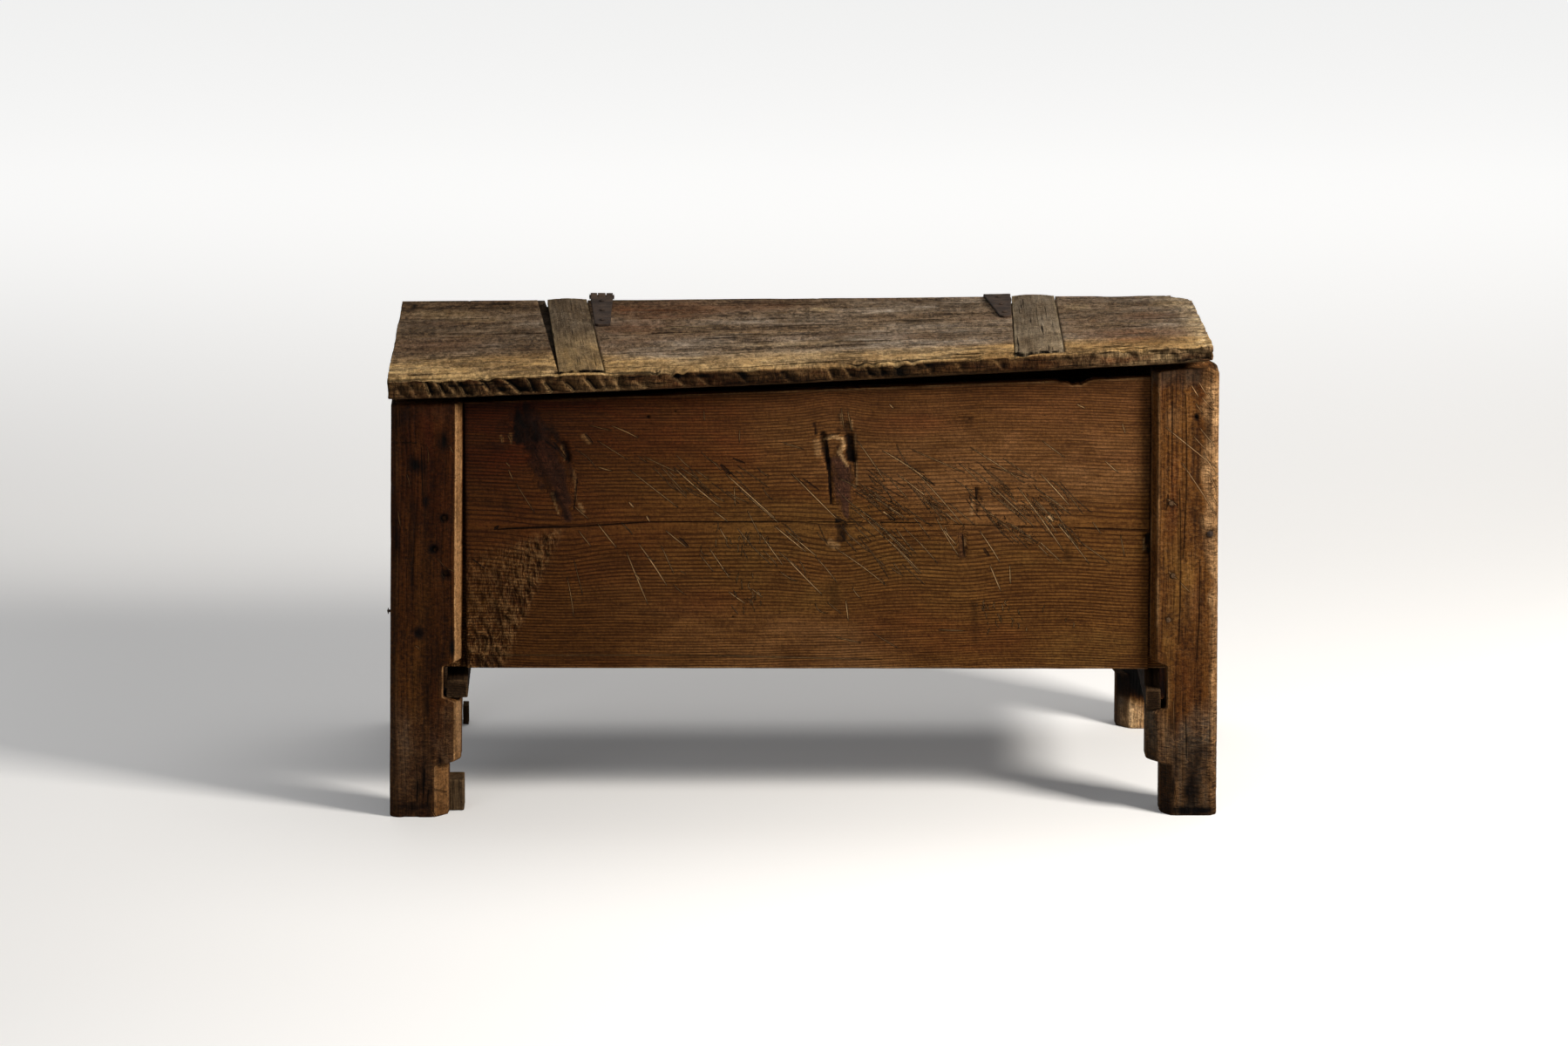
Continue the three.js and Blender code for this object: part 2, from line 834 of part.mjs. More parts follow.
function lidJointY(x) {
  const across = (x - lidLeft) / (lidRight - lidLeft);
  return chestDepth - THREE.MathUtils.lerp(backBoardWidthLeft, backBoardWidthRight, across);
}

function lidBoard(frontAt, backAt) {
  const grid = new THREE.BoxGeometry(1, 1, 1, lidLengthCells, lidDepthCells, 1);
  return mapVertices(grid, (point) => {
    const x = THREE.MathUtils.lerp(lidLeft, lidRight, point.x + 0.5);
    const y = THREE.MathUtils.lerp(frontAt(x), backAt(x), point.y + 0.5);
    const z = point.z > 0 ? lidTop(x, y) : lidUnderside(x, y);
    point.set(x, y, z);
  });
}

// The bar of a batten along the lid, or with room around it for the housing that the bar lies in
function battenBar(batten, room) {
  const front = lidFront + battenFrontStop - room.side;
  const back = chestDepth + room.end;
  const grid = new THREE.BoxGeometry(1, 1, 1, 1, battenCells, 1);
  return mapVertices(grid, (point) => {
    const y = THREE.MathUtils.lerp(front, back, point.y + 0.5);
    const deep = (y - lidFront) / lidDepth;
    const centre = THREE.MathUtils.lerp(batten.frontCentre, batten.backCentre, deep);
    const half = THREE.MathUtils.lerp(batten.frontWidth, batten.backWidth, deep) / 2 + room.side;
    const proud = THREE.MathUtils.lerp(batten.frontProud, batten.backProud, deep) + room.above;
    const x = point.x > 0 ? centre + half : centre - half - room.leftGap * deep;
    const z = lidTop(x, y) + (point.z > 0 ? proud : room.below - battenHousingDepth);
    point.set(x, y, z);
  });
}

function battenHousing(batten) {
  const room = { side: fitGap, end: cutOverrun, above: cutOverrun, below: 0 };
  return battenBar(batten, { ...room, leftGap: batten.housingGap });
}

const leftBatten = {
  name: 'lid_batten_left',
  backCentre: leftBattenBackCentre,
  frontCentre: leftBattenFrontCentre,
  backWidth: leftBattenBackWidth,
  frontWidth: leftBattenFrontWidth,
  backProud: leftBattenBackProud,
  frontProud: leftBattenFrontProud,
  housingGap: leftHousingGap,
};

const rightBatten = {
  name: 'lid_batten_right',
  backCentre: rightBattenBackCentre,
  frontCentre: rightBattenFrontCentre,
  backWidth: rightBattenBackWidth,
  frontWidth: rightBattenFrontWidth,
  backProud: rightBattenBackProud,
  frontProud: rightBattenFrontProud,
  housingGap: 0,
};

function makeBattens() {
  const noRoom = { side: 0, end: 0, leftGap: 0, above: 0, below: fitGap };
  for (const batten of [leftBatten, rightBatten]) {
    addPiece(batten.name, battenBar(batten, noRoom), battenWood, lid);
  }
}

function makeLidBoards() {
  const housings = [leftBatten, rightBatten].map(battenHousing);
  const nailHoles = hinges.flatMap((hinge) => strapNails(hinge).map(nailHoleOf));
  const frontBoard = lidBoard(() => lidFront, (x) => lidJointY(x) - fitGap / 2);
  const backBoard = lidBoard((x) => lidJointY(x) + fitGap / 2, () => chestDepth);
  addPiece('lid_board_front', cutFrom(frontBoard, housings), lidWood, lid);
  addPiece('lid_board_back', cutFrom(backBoard, [...housings, ...nailHoles]), lidWood, lid);
}

// Strap hinges

const hinges = [
  {
    label: 'left',
    backCentre: leftStrapBackCentre,
    backWidth: leftStrapBackWidth,
    tipCentre: leftStrapTipCentre,
    tipWidth: leftStrapTipWidth,
    drop: 0,
  },
  {
    label: 'right',
    backCentre: rightStrapBackCentre,
    backWidth: rightStrapBackWidth,
    tipCentre: rightStrapTipCentre,
    tipWidth: rightStrapTipWidth,
    drop: rightStrapDrop,
  },
];

// A round bar along the hinge axis, which slopes with the back edge of the lid
function axisBar(radius, left, right) {
  const start = new THREE.Vector3(left, hingeAxisY, 0);
  const bar = rod(radius, right - left, eyeSegments, towardsRight, start);
  return mapVertices(bar, (point) => {
    point.z += hingeAxisHeight(point.x);
  });
}

function middleHalf(hinge) {
  return (hinge.backWidth * middleEyeShare) / 2;
}

function pinBore(hinge) {
  const reach = hinge.backWidth / 2 + cutOverrun;
  return axisBar(pinRadius + pinGap, hinge.backCentre - reach, hinge.backCentre + reach);
}

function strapNails(hinge) {
  const length = strapThickness + lidThicknessBack - nailCover;
  return strapNailShares.map((share, index) => {
    const x = THREE.MathUtils.lerp(hinge.backCentre, hinge.tipCentre, share);
    const y = chestDepth - strapLength * share;
    const z = lidTop(x, y) + strapThickness + 2 * fitGap;
    const name = `strap_nail_${hinge.label}_${index + 1}`;
    return { name, length, direction: lidNormal(x, y), position: new THREE.Vector3(x, y, z) };
  });
}

// The strap lies along the lid as far as a bend, just clear of the lid's back face
function strapPlate(hinge) {
  const tipY = chestDepth - strapLength;
  const backLeft = hinge.backCentre - hinge.backWidth / 2;
  const backRight = hinge.backCentre + hinge.backWidth / 2;
  const tipLeft = hinge.tipCentre - hinge.tipWidth / 2;
  const tipRight = hinge.tipCentre + hinge.tipWidth / 2;
  const points = [
    [backLeft, strapBendY],
    [tipLeft, tipY + strapCorner],
    [tipLeft + strapCorner, tipY],
    [tipRight - strapCorner, tipY],
    [tipRight, tipY + strapCorner],
    [backRight, strapBendY],
  ];
  return mapVertices(upright(points, 0, strapThickness), (point) => {
    point.z += lidTop(point.x, point.y) + fitGap;
  });
}

// From the bend the strap drops a little to its eye
function strapNeck(hinge) {
  const left = hinge.backCentre - hinge.backWidth / 2;
  const right = hinge.backCentre + hinge.backWidth / 2;
  const neck = block(left, right, strapBendY, hingeAxisY, 0, strapThickness);
  return mapVertices(neck, (point) => {
    const pastBend = (point.y - strapBendY) / (hingeAxisY - strapBendY);
    point.z += lidTop(point.x, strapBendY) + fitGap - hinge.drop * pastBend;
  });
}

function makeLidStrap(hinge) {
  const left = hinge.backCentre - hinge.backWidth / 2;
  const right = hinge.backCentre + hinge.backWidth / 2;
  const whole = joined([strapPlate(hinge), strapNeck(hinge), axisBar(eyeRadius, left, right)]);
  const gap = middleHalf(hinge) + fitGap;
  const middle = block(
    hinge.backCentre - gap,
    hinge.backCentre + gap,
    hingeAxisY - eyeRadius - fitGap,
    hingeAxisY + eyeRadius + cutOverrun,
    hingeAxisHeight(hinge.backCentre) - eyeRadius - cutOverrun,
    hingeAxisHeight(hinge.backCentre) + eyeRadius + cutOverrun,
  );
  const holes = strapNails(hinge).map(nailHoleOf);
  const strap = cutFrom(whole, [middle, pinBore(hinge), ...holes]);
  addPiece(`lid_strap_${hinge.label}`, strap, forgedIron, lid);
}

function leafNails(hinge) {
  const length = strapThickness + panelThickness - nailCover;
  return leafNailShares.map((share, index) => {
    const x = hinge.backCentre;
    const y = chestDepth + strapThickness + 2 * fitGap;
    const z = hingeAxisHeight(x) - backLeafLength * share;
    const name = `leaf_nail_${hinge.label}_${index + 1}`;
    return { name, length, direction: towardsBack, position: new THREE.Vector3(x, y, z) };
  });
}

function makeBackLeaf(hinge) {
  const top = hingeAxisHeight(hinge.backCentre);
  const shoulder = top - eyeRadius - restGap;
  const tip = top - backLeafLength;
  const half = backLeafWidth / 2;
  const neck = middleHalf(hinge);
  const x = hinge.backCentre;
  const points = [
    [x - neck, top],
    [x - neck, shoulder],
    [x - half, shoulder - strapCorner],
    [x - half, tip + strapCorner],
    [x - half + strapCorner, tip],
    [x + half - strapCorner, tip],
    [x + half, tip + strapCorner],
    [x + half, shoulder - strapCorner],
    [x + neck, shoulder],
    [x + neck, top],
  ];
  const front = chestDepth + fitGap;
  const plate = facingFront(points, front, front + strapThickness);
  const whole = joined([plate, axisBar(eyeRadius, x - neck, x + neck)]);
  const holes = leafNails(hinge).map(nailHoleOf);
  addPiece(`back_leaf_${hinge.label}`, cutFrom(whole, [pinBore(hinge), ...holes]), forgedIron);
}

function makeHingePin(hinge) {
  const reach = hinge.backWidth / 2 + fitGap;
  const profile = [
    [0, -reach - pinHeadHeight],
    [pinHeadRadius, -reach - pinHeadHeight / 2],
    [pinHeadRadius, -reach],
    [pinRadius, -reach],
    [pinRadius, reach],
    [pinHeadRadius, reach],
    [pinHeadRadius, reach + pinHeadHeight / 2],
    [0, reach + pinHeadHeight],
  ];
  const place = new THREE.Vector3(hinge.backCentre, hingeAxisY, 0);
  const pin = mapVertices(turned(profile, eyeSegments, towardsRight, place), (point) => {
    point.z += hingeAxisHeight(point.x);
  });
  addPiece(`hinge_pin_${hinge.label}`, pin, forgedIron);
}

function makeHinges() {
  for (const hinge of hinges) {
    makeLidStrap(hinge);
    makeBackLeaf(hinge);
    makeHingePin(hinge);
  }
}

// Pegs and nails

function makePegs() {
  for (const item of [...leftPegs, ...rightPegs, leftPlug, ...backLeftPegs, ...backRightPegs]) {
    addPiece(item.name, peg(item.length, item.direction, item.position), pegWood);
  }
}

function makeNails() {
  for (const hinge of hinges) {
    for (const item of strapNails(hinge)) {
      addPiece(item.name, nail(item.length, item.direction, item.position), forgedIron, lid);
    }
    for (const item of leafNails(hinge)) {
      addPiece(item.name, nail(item.length, item.direction, item.position), forgedIron);
    }
  }
  const side = nail(sideNail.length, sideNail.direction, sideNail.position);
  const face = nail(faceNail.length, faceNail.direction, faceNail.position);
  addPiece('side_nail', side, forgedIron);
  addPiece('face_nail', face, forgedIron);
}

makeFrontLeftPost();
makeFrontRightPost();
makeBackPosts();
makeFrontPanel();
makeBackPanel();
makeEndPanel('end_panel_left', leftSide);
makeEndPanel('end_panel_right', rightSide);
makeFloorBoards();
makeBearers();
makeFootBlocks();
makeLidBoards();
makeBattens();
makeHinges();
makePegs();
makeNails();

// The origin is the middle of the chest's outer box, on the floor
const bounds = new THREE.Box3().setFromObject(chest);
const centre = bounds.getCenter(new THREE.Vector3());
chest.position.set(-centre.x, -centre.y, -bounds.min.z);

export default chest;
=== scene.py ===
# The looks of the blanket chest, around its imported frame. Lengths are millimetres until a mesh is
# made, in the frame's own axes: +X to the viewer's right, +Y to the back, +Z up, floor at Z = 0.

import math

import bpy
import numpy as np
from mathutils import Euler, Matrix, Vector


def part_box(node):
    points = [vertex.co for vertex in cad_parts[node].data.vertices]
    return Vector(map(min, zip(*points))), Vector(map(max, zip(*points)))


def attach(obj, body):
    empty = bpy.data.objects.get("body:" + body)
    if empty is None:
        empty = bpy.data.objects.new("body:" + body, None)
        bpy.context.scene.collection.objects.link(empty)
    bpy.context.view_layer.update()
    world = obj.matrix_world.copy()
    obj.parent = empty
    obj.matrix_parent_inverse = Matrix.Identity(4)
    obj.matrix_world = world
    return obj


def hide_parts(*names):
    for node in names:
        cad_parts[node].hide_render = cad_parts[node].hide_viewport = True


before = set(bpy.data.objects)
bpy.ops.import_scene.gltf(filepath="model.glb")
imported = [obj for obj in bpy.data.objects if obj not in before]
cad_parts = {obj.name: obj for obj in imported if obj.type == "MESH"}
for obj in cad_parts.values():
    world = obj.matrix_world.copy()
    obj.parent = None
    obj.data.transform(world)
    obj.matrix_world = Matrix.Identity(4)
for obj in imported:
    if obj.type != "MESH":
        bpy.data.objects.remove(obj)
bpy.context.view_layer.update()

METRE = 1000.0

# The photograph's camera
IMAGE_CENTRE = np.array([899.0, 599.5])
IMAGE_WIDTH = 1799
FOCAL_PIXELS = 8763.0
SENSOR_WIDTH = 36.0
CAMERA_PLACE = np.array([-114.25, -10353.35, 2877.5])
CAMERA_PITCH = math.radians(13.7)
CAMERA_YAW = math.radians(0.5)


def camera_turn():
    return Euler((math.pi / 2 - CAMERA_PITCH, 0, -CAMERA_YAW), "XYZ")


CAMERA_AXES = np.array(camera_turn().to_matrix())


def rays(pixels):
    """Directions from the camera through pixels of the photograph."""
    pixels = np.atleast_2d(np.asarray(pixels, float))
    across, down = (pixels - IMAGE_CENTRE).T / FOCAL_PIXELS
    return np.stack([across, -down, -np.ones(len(pixels))], 1) @ CAMERA_AXES.T


def on_upright(pixels, y):
    """Where pixels of the photograph fall on the upright plane at a depth: (x, z) of each."""
    directions = rays(pixels)
    reach = (y - CAMERA_PLACE[1]) / directions[:, 1]
    places = CAMERA_PLACE + directions * reach[:, None]
    return places[:, [0, 2]]


# Numbers that vary smoothly

def smooth(start, end, value):
    """0 up to start, 1 from end on and smooth between them. Start may be the larger of the two."""
    share = np.clip((value - start) / (end - start), 0, 1)
    return share * share * (3 - 2 * share)


def bell(offset):
    """1 where offset is 0, falling away smoothly on both sides."""
    return np.exp(-offset ** 2)


def columns(*values):
    """Numbers and arrays side by side, as the columns of one array."""
    return np.stack(np.broadcast_arrays(*values), -1)


def corner_value(x, y, z, seed):
    """A repeatable value from -1 to 1 for a corner of the noise grid."""
    mask = 0xFFFFFFFF
    code = (x * 374761393 + y * 668265263 + z * 1440662683 + seed * 1274126177) & mask
    code = ((code ^ (code >> 13)) * 1274126177) & mask
    code = code ^ (code >> 16)
    return code / 2147483647.5 - 1


def noise(points, size, seed):
    """Smooth noise from -1 to 1 at points, with bumps about as large as size."""
    scaled = points / np.asarray(size, float)
    base = np.floor(scaled).astype(np.int64)
    part = scaled - base
    part = part * part * (3 - 2 * part)
    total = np.zeros(len(points))
    for i in (0, 1):
        for j in (0, 1):
            for k in (0, 1):
                weight = np.ones(len(points))
                for axis, step in enumerate((i, j, k)):
                    weight = weight * (part[:, axis] if step else 1 - part[:, axis])
                corner = corner_value(base[:, 0] + i, base[:, 1] + j, base[:, 2] + k, seed)
                total += weight * corner
    return total


def fractal(points, size, seed, octaves=3):
    """Noise with finer, fainter noise on it, from -1 to 1 with three octaves."""
    total = np.zeros(len(points))
    weight = 1.0
    for octave in range(octaves):
        total += weight * noise(points, np.asarray(size, float) / 2 ** octave, seed + octave)
        weight *= 0.5
    return total / 1.75


def patches(low, high, points, size, seed, octaves=3):
    """Patches that rise from 0 to 1 where the fractal noise passes from low to high."""
    return smooth(low, high, fractal(points, size, seed, octaves))


# Meshes

EDGE_STATIONS = np.array([0.0, 0.9, 2.0, 3.6, 6.0])
STEP_HALF = 0.25


def stations(start, end, step, steps_at=()):
    """Places from start to end, closer together near both ends, with a pair at each sharp step."""
    fixed = [*(start + EDGE_STATIONS), *(end - EDGE_STATIONS)]
    for place in steps_at:
        fixed += [place - STEP_HALF, place + STEP_HALF]
    fixed.sort()
    places = []
    for low, high in zip(fixed, fixed[1:]):
        count = max(1, round((high - low) / step))
        places += list(low + (high - low) * np.arange(count) / count)
    return np.array(places + [fixed[-1]])


def grid_faces(index):
    """Four-sided faces of a grid of vertex numbers."""
    a, b = index[:-1, :-1], index[1:, :-1]
    c, d = index[1:, 1:], index[:-1, 1:]
    return np.stack([a, b, c, d], -1).reshape(-1, 4).tolist()


def rim_cells(rows, columns):
    """The grid cells round the outside of a grid, in order."""
    first = [(i, 0) for i in range(rows)]
    second = [(rows - 1, j) for j in range(1, columns)]
    third = [(i, columns - 1) for i in range(rows - 2, -1, -1)]
    fourth = [(0, j) for j in range(columns - 2, 0, -1)]
    return first + second + third + fourth


def back_faces(along, across, rim, start, coarse):
    """The plain back of a block: a wide grid whose outer cells meet each vertex of the rim."""
    rows = np.unique(np.linspace(0, len(along) - 1, coarse[0] + 1).round().astype(int))
    columns = np.unique(np.linspace(0, len(across) - 1, coarse[1] + 1).round().astype(int))
    inner = {}
    for i in rows[1:-1]:
        for j in columns[1:-1]:
            inner[(i, j)] = start + len(inner)
    number = {**inner, **rim}
    faces = []
    last = (len(along) - 1, len(across) - 1)

    def between(p, q):
        """The vertices from cell corner p up to q, with the rim's own where both lie on it."""
        on_edge = any(p[k] == q[k] and p[k] in (0, last[k]) for k in (0, 1))
        if not on_edge:
            return [number[p]]
        axis = 0 if p[0] != q[0] else 1
        step = 1 if q[axis] > p[axis] else -1
        cells = range(p[axis], q[axis], step)
        return [number[(c, p[1]) if axis == 0 else (p[0], c)] for c in cells]

    for i0, i1 in zip(rows, rows[1:]):
        for j0, j1 in zip(columns, columns[1:]):
            corners = [(i0, j0), (i0, j1), (i1, j1), (i1, j0)]
            face = []
            for p, q in zip(corners, corners[1:] + corners[:1]):
                face += between(p, q)
            faces.append(face)
    places = [(along[i], across[j]) for i, j in inner]
    return np.array(places).reshape(-1, 2), faces


def block_surface(along, across, depths, coarse):
    """A closed block: a fine grid on its face, rings down its sides and a wide grid behind."""
    a, b = np.meshgrid(along, across, indexing="ij")
    points = [np.stack([a, b, np.full_like(a, depths[0])], -1).reshape(-1, 3)]
    index = np.arange(a.size).reshape(a.shape)
    faces = grid_faces(index)
    cells = rim_cells(*a.shape)
    ring = np.array([index[c] for c in cells])
    flat = np.array([(along[i], across[j]) for i, j in cells])
    count = a.size
    for depth in depths[1:]:
        lower = count + np.arange(len(cells))
        points.append(columns(*flat.T, depth))
        faces += np.stack([ring, lower, np.roll(lower, -1), np.roll(ring, -1)], -1).tolist()
        ring = lower
        count += len(cells)
    rim = {cell: int(number) for cell, number in zip(cells, ring)}
    places, behind = back_faces(along, across, rim, count, coarse)
    points.append(columns(*places.T, depths[-1]))
    return np.concatenate(points), faces + behind


def round_edges(points, low, high, radius):
    """Moves points of a block's surface on to the block with round edges, with outward directions."""
    radius = np.broadcast_to(radius, len(points))[:, None]
    core = np.clip(points, low + radius, high - radius)
    away = points - core
    outward = away / np.linalg.norm(away, axis=1, keepdims=True)
    return core + outward * radius, outward


def edge_distance(points, low, high):
    """How far each point of a block's surface is from the nearest edge of the block."""
    gaps = np.sort(np.concatenate([points - low, high - points], 1), axis=1)
    return gaps[:, 1]


def round_block(along, across, depths, coarse, radius):
    """A block with round edges, where radius is a function of the points.

    Returns the points before rounding, the faces, how far each point is from an edge, the rounded
    points and the directions outwards."""
    flat, faces = block_surface(along, across, depths, coarse)
    low = np.array([along[0], across[0], 0])
    high = np.array([along[-1], across[-1], depths[-1]])
    rounded, outward = round_edges(flat, low, high, radius(flat))
    return flat, faces, edge_distance(flat, low, high), rounded, outward


def tube_faces(stations_count, loop_count):
    index = np.arange(stations_count * loop_count).reshape(stations_count, loop_count)
    closed = np.concatenate([index, index[:, :1]], 1)
    return grid_faces(closed)


def cap(points, faces, ring, centre, shares):
    """Closes a ring of vertices with smaller rings and a centre. Returns the new points."""
    count = len(points)
    outline = points[ring]
    extra = []
    for share in shares:
        extra.append(centre + (outline - centre) * share)
        fresh = count + np.arange(len(ring))
        faces += np.stack([ring, fresh, np.roll(fresh, -1), np.roll(ring, -1)], -1).tolist()
        ring = fresh
        count += len(ring)
    extra.append(centre[None, :])
    faces += [[int(a), count, int(b)] for a, b in zip(ring, np.roll(ring, -1))]
    return np.concatenate([points, *extra])


def signed_volume(points, faces):
    """Six times the volume inside the faces, and below 0 where they look inwards."""
    total = 0.0
    for face in faces:
        p = points[face]
        total += np.einsum("i,ni->", p[0], np.cross(p[1:-1], p[2:]))
    return total


def make_piece(name, points, faces, body, slot, node, values):
    """A mesh object from points in millimetres, with values stored at its vertices."""
    if signed_volume(points, faces) < 0:
        faces = [face[::-1] for face in faces]
    mesh = bpy.data.meshes.new(name)
    mesh.from_pydata((points / METRE).tolist(), [], faces)
    mesh.polygons.foreach_set("use_smooth", [True] * len(mesh.polygons))
    for key, data in values.items():
        data = np.asarray(data, np.float32)
        attribute = mesh.attributes.new(key, "FLOAT_VECTOR", "POINT")
        attribute.data.foreach_set("vector", data.ravel())
    mesh.materials.append(MATERIALS[slot])
    piece = bpy.data.objects.new(name, mesh)
    bpy.context.scene.collection.objects.link(piece)
    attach(piece, body)
    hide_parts(node)


# Marks on the wood

STROKE_REACH = 4.5
STROKE_CHANNELS = 3
# What a vertex far from every stroke holds: distance, half width and tone
NO_STROKE = [9.0, -5.0, 0.0]


def bent_line(start, end, bend=0, count=9):
    """Points from start to end, bowed sideways by bend."""
    start, end = np.asarray(start, float), np.asarray(end, float)
    t = np.linspace(0, 1, count)[:, None]
    across = np.array([-(end - start)[1], (end - start)[0]])
    across = across / max(np.linalg.norm(across), 1e-6)
    return start + (end - start) * t + across * bend * 4 * t * (1 - t)


def stroke_distance(places, line):
    """Signed distance of places from a line of points, and the share of its length."""
    best = np.full(len(places), 1e9)
    signed = np.zeros(len(places))
    share = np.zeros(len(places))
    count = len(line) - 1
    for k in range(count):
        start, along = line[k], line[k + 1] - line[k]
        length = np.linalg.norm(along) + 1e-9
        offset = places - start
        t = (offset @ along) / length ** 2
        held = np.clip(t, 0, 1)
        gap = np.linalg.norm(offset - held[:, None] * along, axis=1)
        side = (along[0] * offset[:, 1] - along[1] * offset[:, 0]) / length
        nearer = gap < best
        best = np.where(nearer, gap, best)
        signed = np.where(nearer, np.where(side < 0, -gap, gap), signed)
        share = np.where(nearer, (k + held) / count, share)
    return signed, share


def empty_strokes(count):
    return [np.tile(NO_STROKE, (count, 1)) for _ in range(STROKE_CHANNELS)]


def draw_strokes(places, strokes, on_face):
    """Fields of signed distance, width and tone for a list of strokes, in a few channels."""
    channels = empty_strokes(len(places))
    sink = np.zeros(len(places))
    for line, width, tone in strokes:
        low = line.min(0) - STROKE_REACH
        high = line.max(0) + STROKE_REACH
        near = on_face & np.all((places > low) & (places < high), axis=1)
        near = np.flatnonzero(near)
        if not len(near):
            continue
        signed, share = stroke_distance(places[near], line)
        within = np.abs(signed) < STROKE_REACH
        near, signed, share = near[within], signed[within], share[within]
        crowd = [np.count_nonzero(field[near, 1] > -1) for field in channels]
        field = channels[int(np.argmin(crowd))]
        taper = np.sqrt(np.clip(4 * share * (1 - share), 0, 1))
        ends = (share <= 0) | (share >= 1)
        reach = np.where(ends, -1.0, (width + 0.12) * taper)
        field[near, 0] = signed
        field[near, 1] = reach
        field[near, 2] = tone
        sink[near] += np.where(ends, 0, width * 0.45 * bell(signed / (width + 0.6)))
    return channels, sink


def blobs(places, spots):
    """The largest value of soft oval spots: x, y, half width, half height, value and any turn."""
    total = np.zeros(len(places))
    for x, y, wide, high, value, *turn in spots:
        angle = math.radians(sum(turn))
        c, s = math.cos(angle), math.sin(angle)
        dx, dy = places[:, 0] - x, places[:, 1] - y
        u, v = (dx * c + dy * s) / wide, (-dx * s + dy * c) / high
        total = np.maximum(total, value * np.exp(-(u * u + v * v) ** 1.5))
    return total


def pits(x, z, rows, y):
    """The depth of round pits on an upright plane, given as (photo pixel, half width, depth)."""
    total = np.zeros(len(x))
    for px, py, half, deep in rows:
        at = on_upright([(px, py)], y)[0]
        total = np.maximum(total, deep * np.exp(-(np.hypot(x - at[0], z - at[1]) / half) ** 4))
    return total


def ring_count(radius):
    """Growth rings from the heart outwards: wide near the heart and narrow further out."""
    return radius / 8.5 + 0.0008 * radius ** 2


# Materials

class Graph:
    """A short way to write a material's nodes."""

    def __init__(self, name):
        self.material = bpy.data.materials.new(name)
        self.material.use_nodes = True
        self.tree = self.material.node_tree
        self.tree.nodes.clear()
        self.shader = self.node("ShaderNodeBsdfPrincipled")
        output = self.node("ShaderNodeOutputMaterial")
        self.tree.links.new(self.shader.outputs[0], output.inputs["Surface"])

    def node(self, kind, **settings):
        node = self.tree.nodes.new(kind)
        for key, value in settings.items():
            setattr(node, key, value)
        return node

    def put(self, socket, value):
        if isinstance(value, bpy.types.NodeSocket):
            self.tree.links.new(value, socket)
        else:
            socket.default_value = value

    def set(self, name, value):
        self.put(self.shader.inputs[name], value)

    def math(self, operation, a, b=0.0, c=0.0, clamp=False):
        node = self.node("ShaderNodeMath", operation=operation, use_clamp=clamp)
        for socket, value in zip(node.inputs, (a, b, c)):
            self.put(socket, value)
        return node.outputs[0]

    def add(self, a, b):
        return self.math("ADD", a, b)

    def less(self, a, b, clamp=False):
        return self.math("SUBTRACT", a, b, clamp=clamp)

    def times(self, a, b, clamp=False):
        return self.math("MULTIPLY", a, b, clamp=clamp)

    def larger(self, a, b):
        return self.math("MAXIMUM", a, b)

    def size(self, value):
        return self.math("ABSOLUTE", value)

    def fma(self, value, factor, plus, clamp=False):
        return self.math("MULTIPLY_ADD", value, factor, plus, clamp)

    def step(self, value, low, high, to_low=0.0, to_high=1.0):
        node = self.node("ShaderNodeMapRange", interpolation_type="SMOOTHSTEP")
        for socket, number in zip(node.inputs, (value, low, high, to_low, to_high)):
            self.put(socket, number)
        return node.outputs[0]

    def mix(self, share, a, b, blend="MIX"):
        node = self.node("ShaderNodeMix", data_type="RGBA", blend_type=blend)
        for socket, value in zip((node.inputs[0], node.inputs[6], node.inputs[7]), (share, a, b)):
            self.put(socket, (*value, 1.0) if isinstance(value, tuple) else value)
        return node.outputs[2]

    def attribute(self, name):
        return self.node("ShaderNodeAttribute", attribute_name=name).outputs["Vector"]

    def parts(self, vector):
        split = self.node("ShaderNodeSeparateXYZ")
        self.put(split.inputs[0], vector)
        return split.outputs[0], split.outputs[1], split.outputs[2]

    def combine(self, red, green=None, blue=None):
        node = self.node("ShaderNodeCombineColor")
        for socket, value in zip(node.inputs, (red, green or red, blue or red)):
            self.put(socket, value)
        return node.outputs[0]

    def noise(self, vector, scale, detail=3.0, rough=0.55, twist=0.0):
        stretch = self.node("ShaderNodeVectorMath", operation="MULTIPLY")
        self.put(stretch.inputs[0], vector)
        stretch.inputs[1].default_value = scale
        node = self.node("ShaderNodeTexNoise")
        self.put(node.inputs["Vector"], stretch.outputs[0])
        node.inputs["Scale"].default_value = 1.0
        node.inputs["Detail"].default_value = detail
        node.inputs["Roughness"].default_value = rough
        node.inputs["Distortion"].default_value = twist
        return node.outputs[0]

    def ramp(self, value, stops):
        node = self.node("ShaderNodeValToRGB")
        self.put(node.inputs[0], value)
        elements = node.color_ramp.elements
        while len(elements) < len(stops):
            elements.new(0.5)
        for element, (place, level) in zip(elements, stops):
            element.position = place
            element.color = (level, level, level, 1.0)
        return node.outputs[0]

    def bump(self, height, strength, distance):
        node = self.node("ShaderNodeBump")
        node.inputs["Strength"].default_value = strength
        node.inputs["Distance"].default_value = distance
        self.put(node.inputs["Height"], height)
        self.set("Normal", node.outputs[0])


# The shade of a growth ring from one ring to the next
RING_SHADE = [(0.0, 0.1), (0.4, 0.0), (0.7, 0.35), (0.84, 1.0), (0.93, 0.9), (1.0, 0.1)]
KNOT_COLORS = ((0.026, 0.011, 0.0075), (0.098, 0.040, 0.024))


def dimmed(color, share):
    return tuple(share * part for part in color)


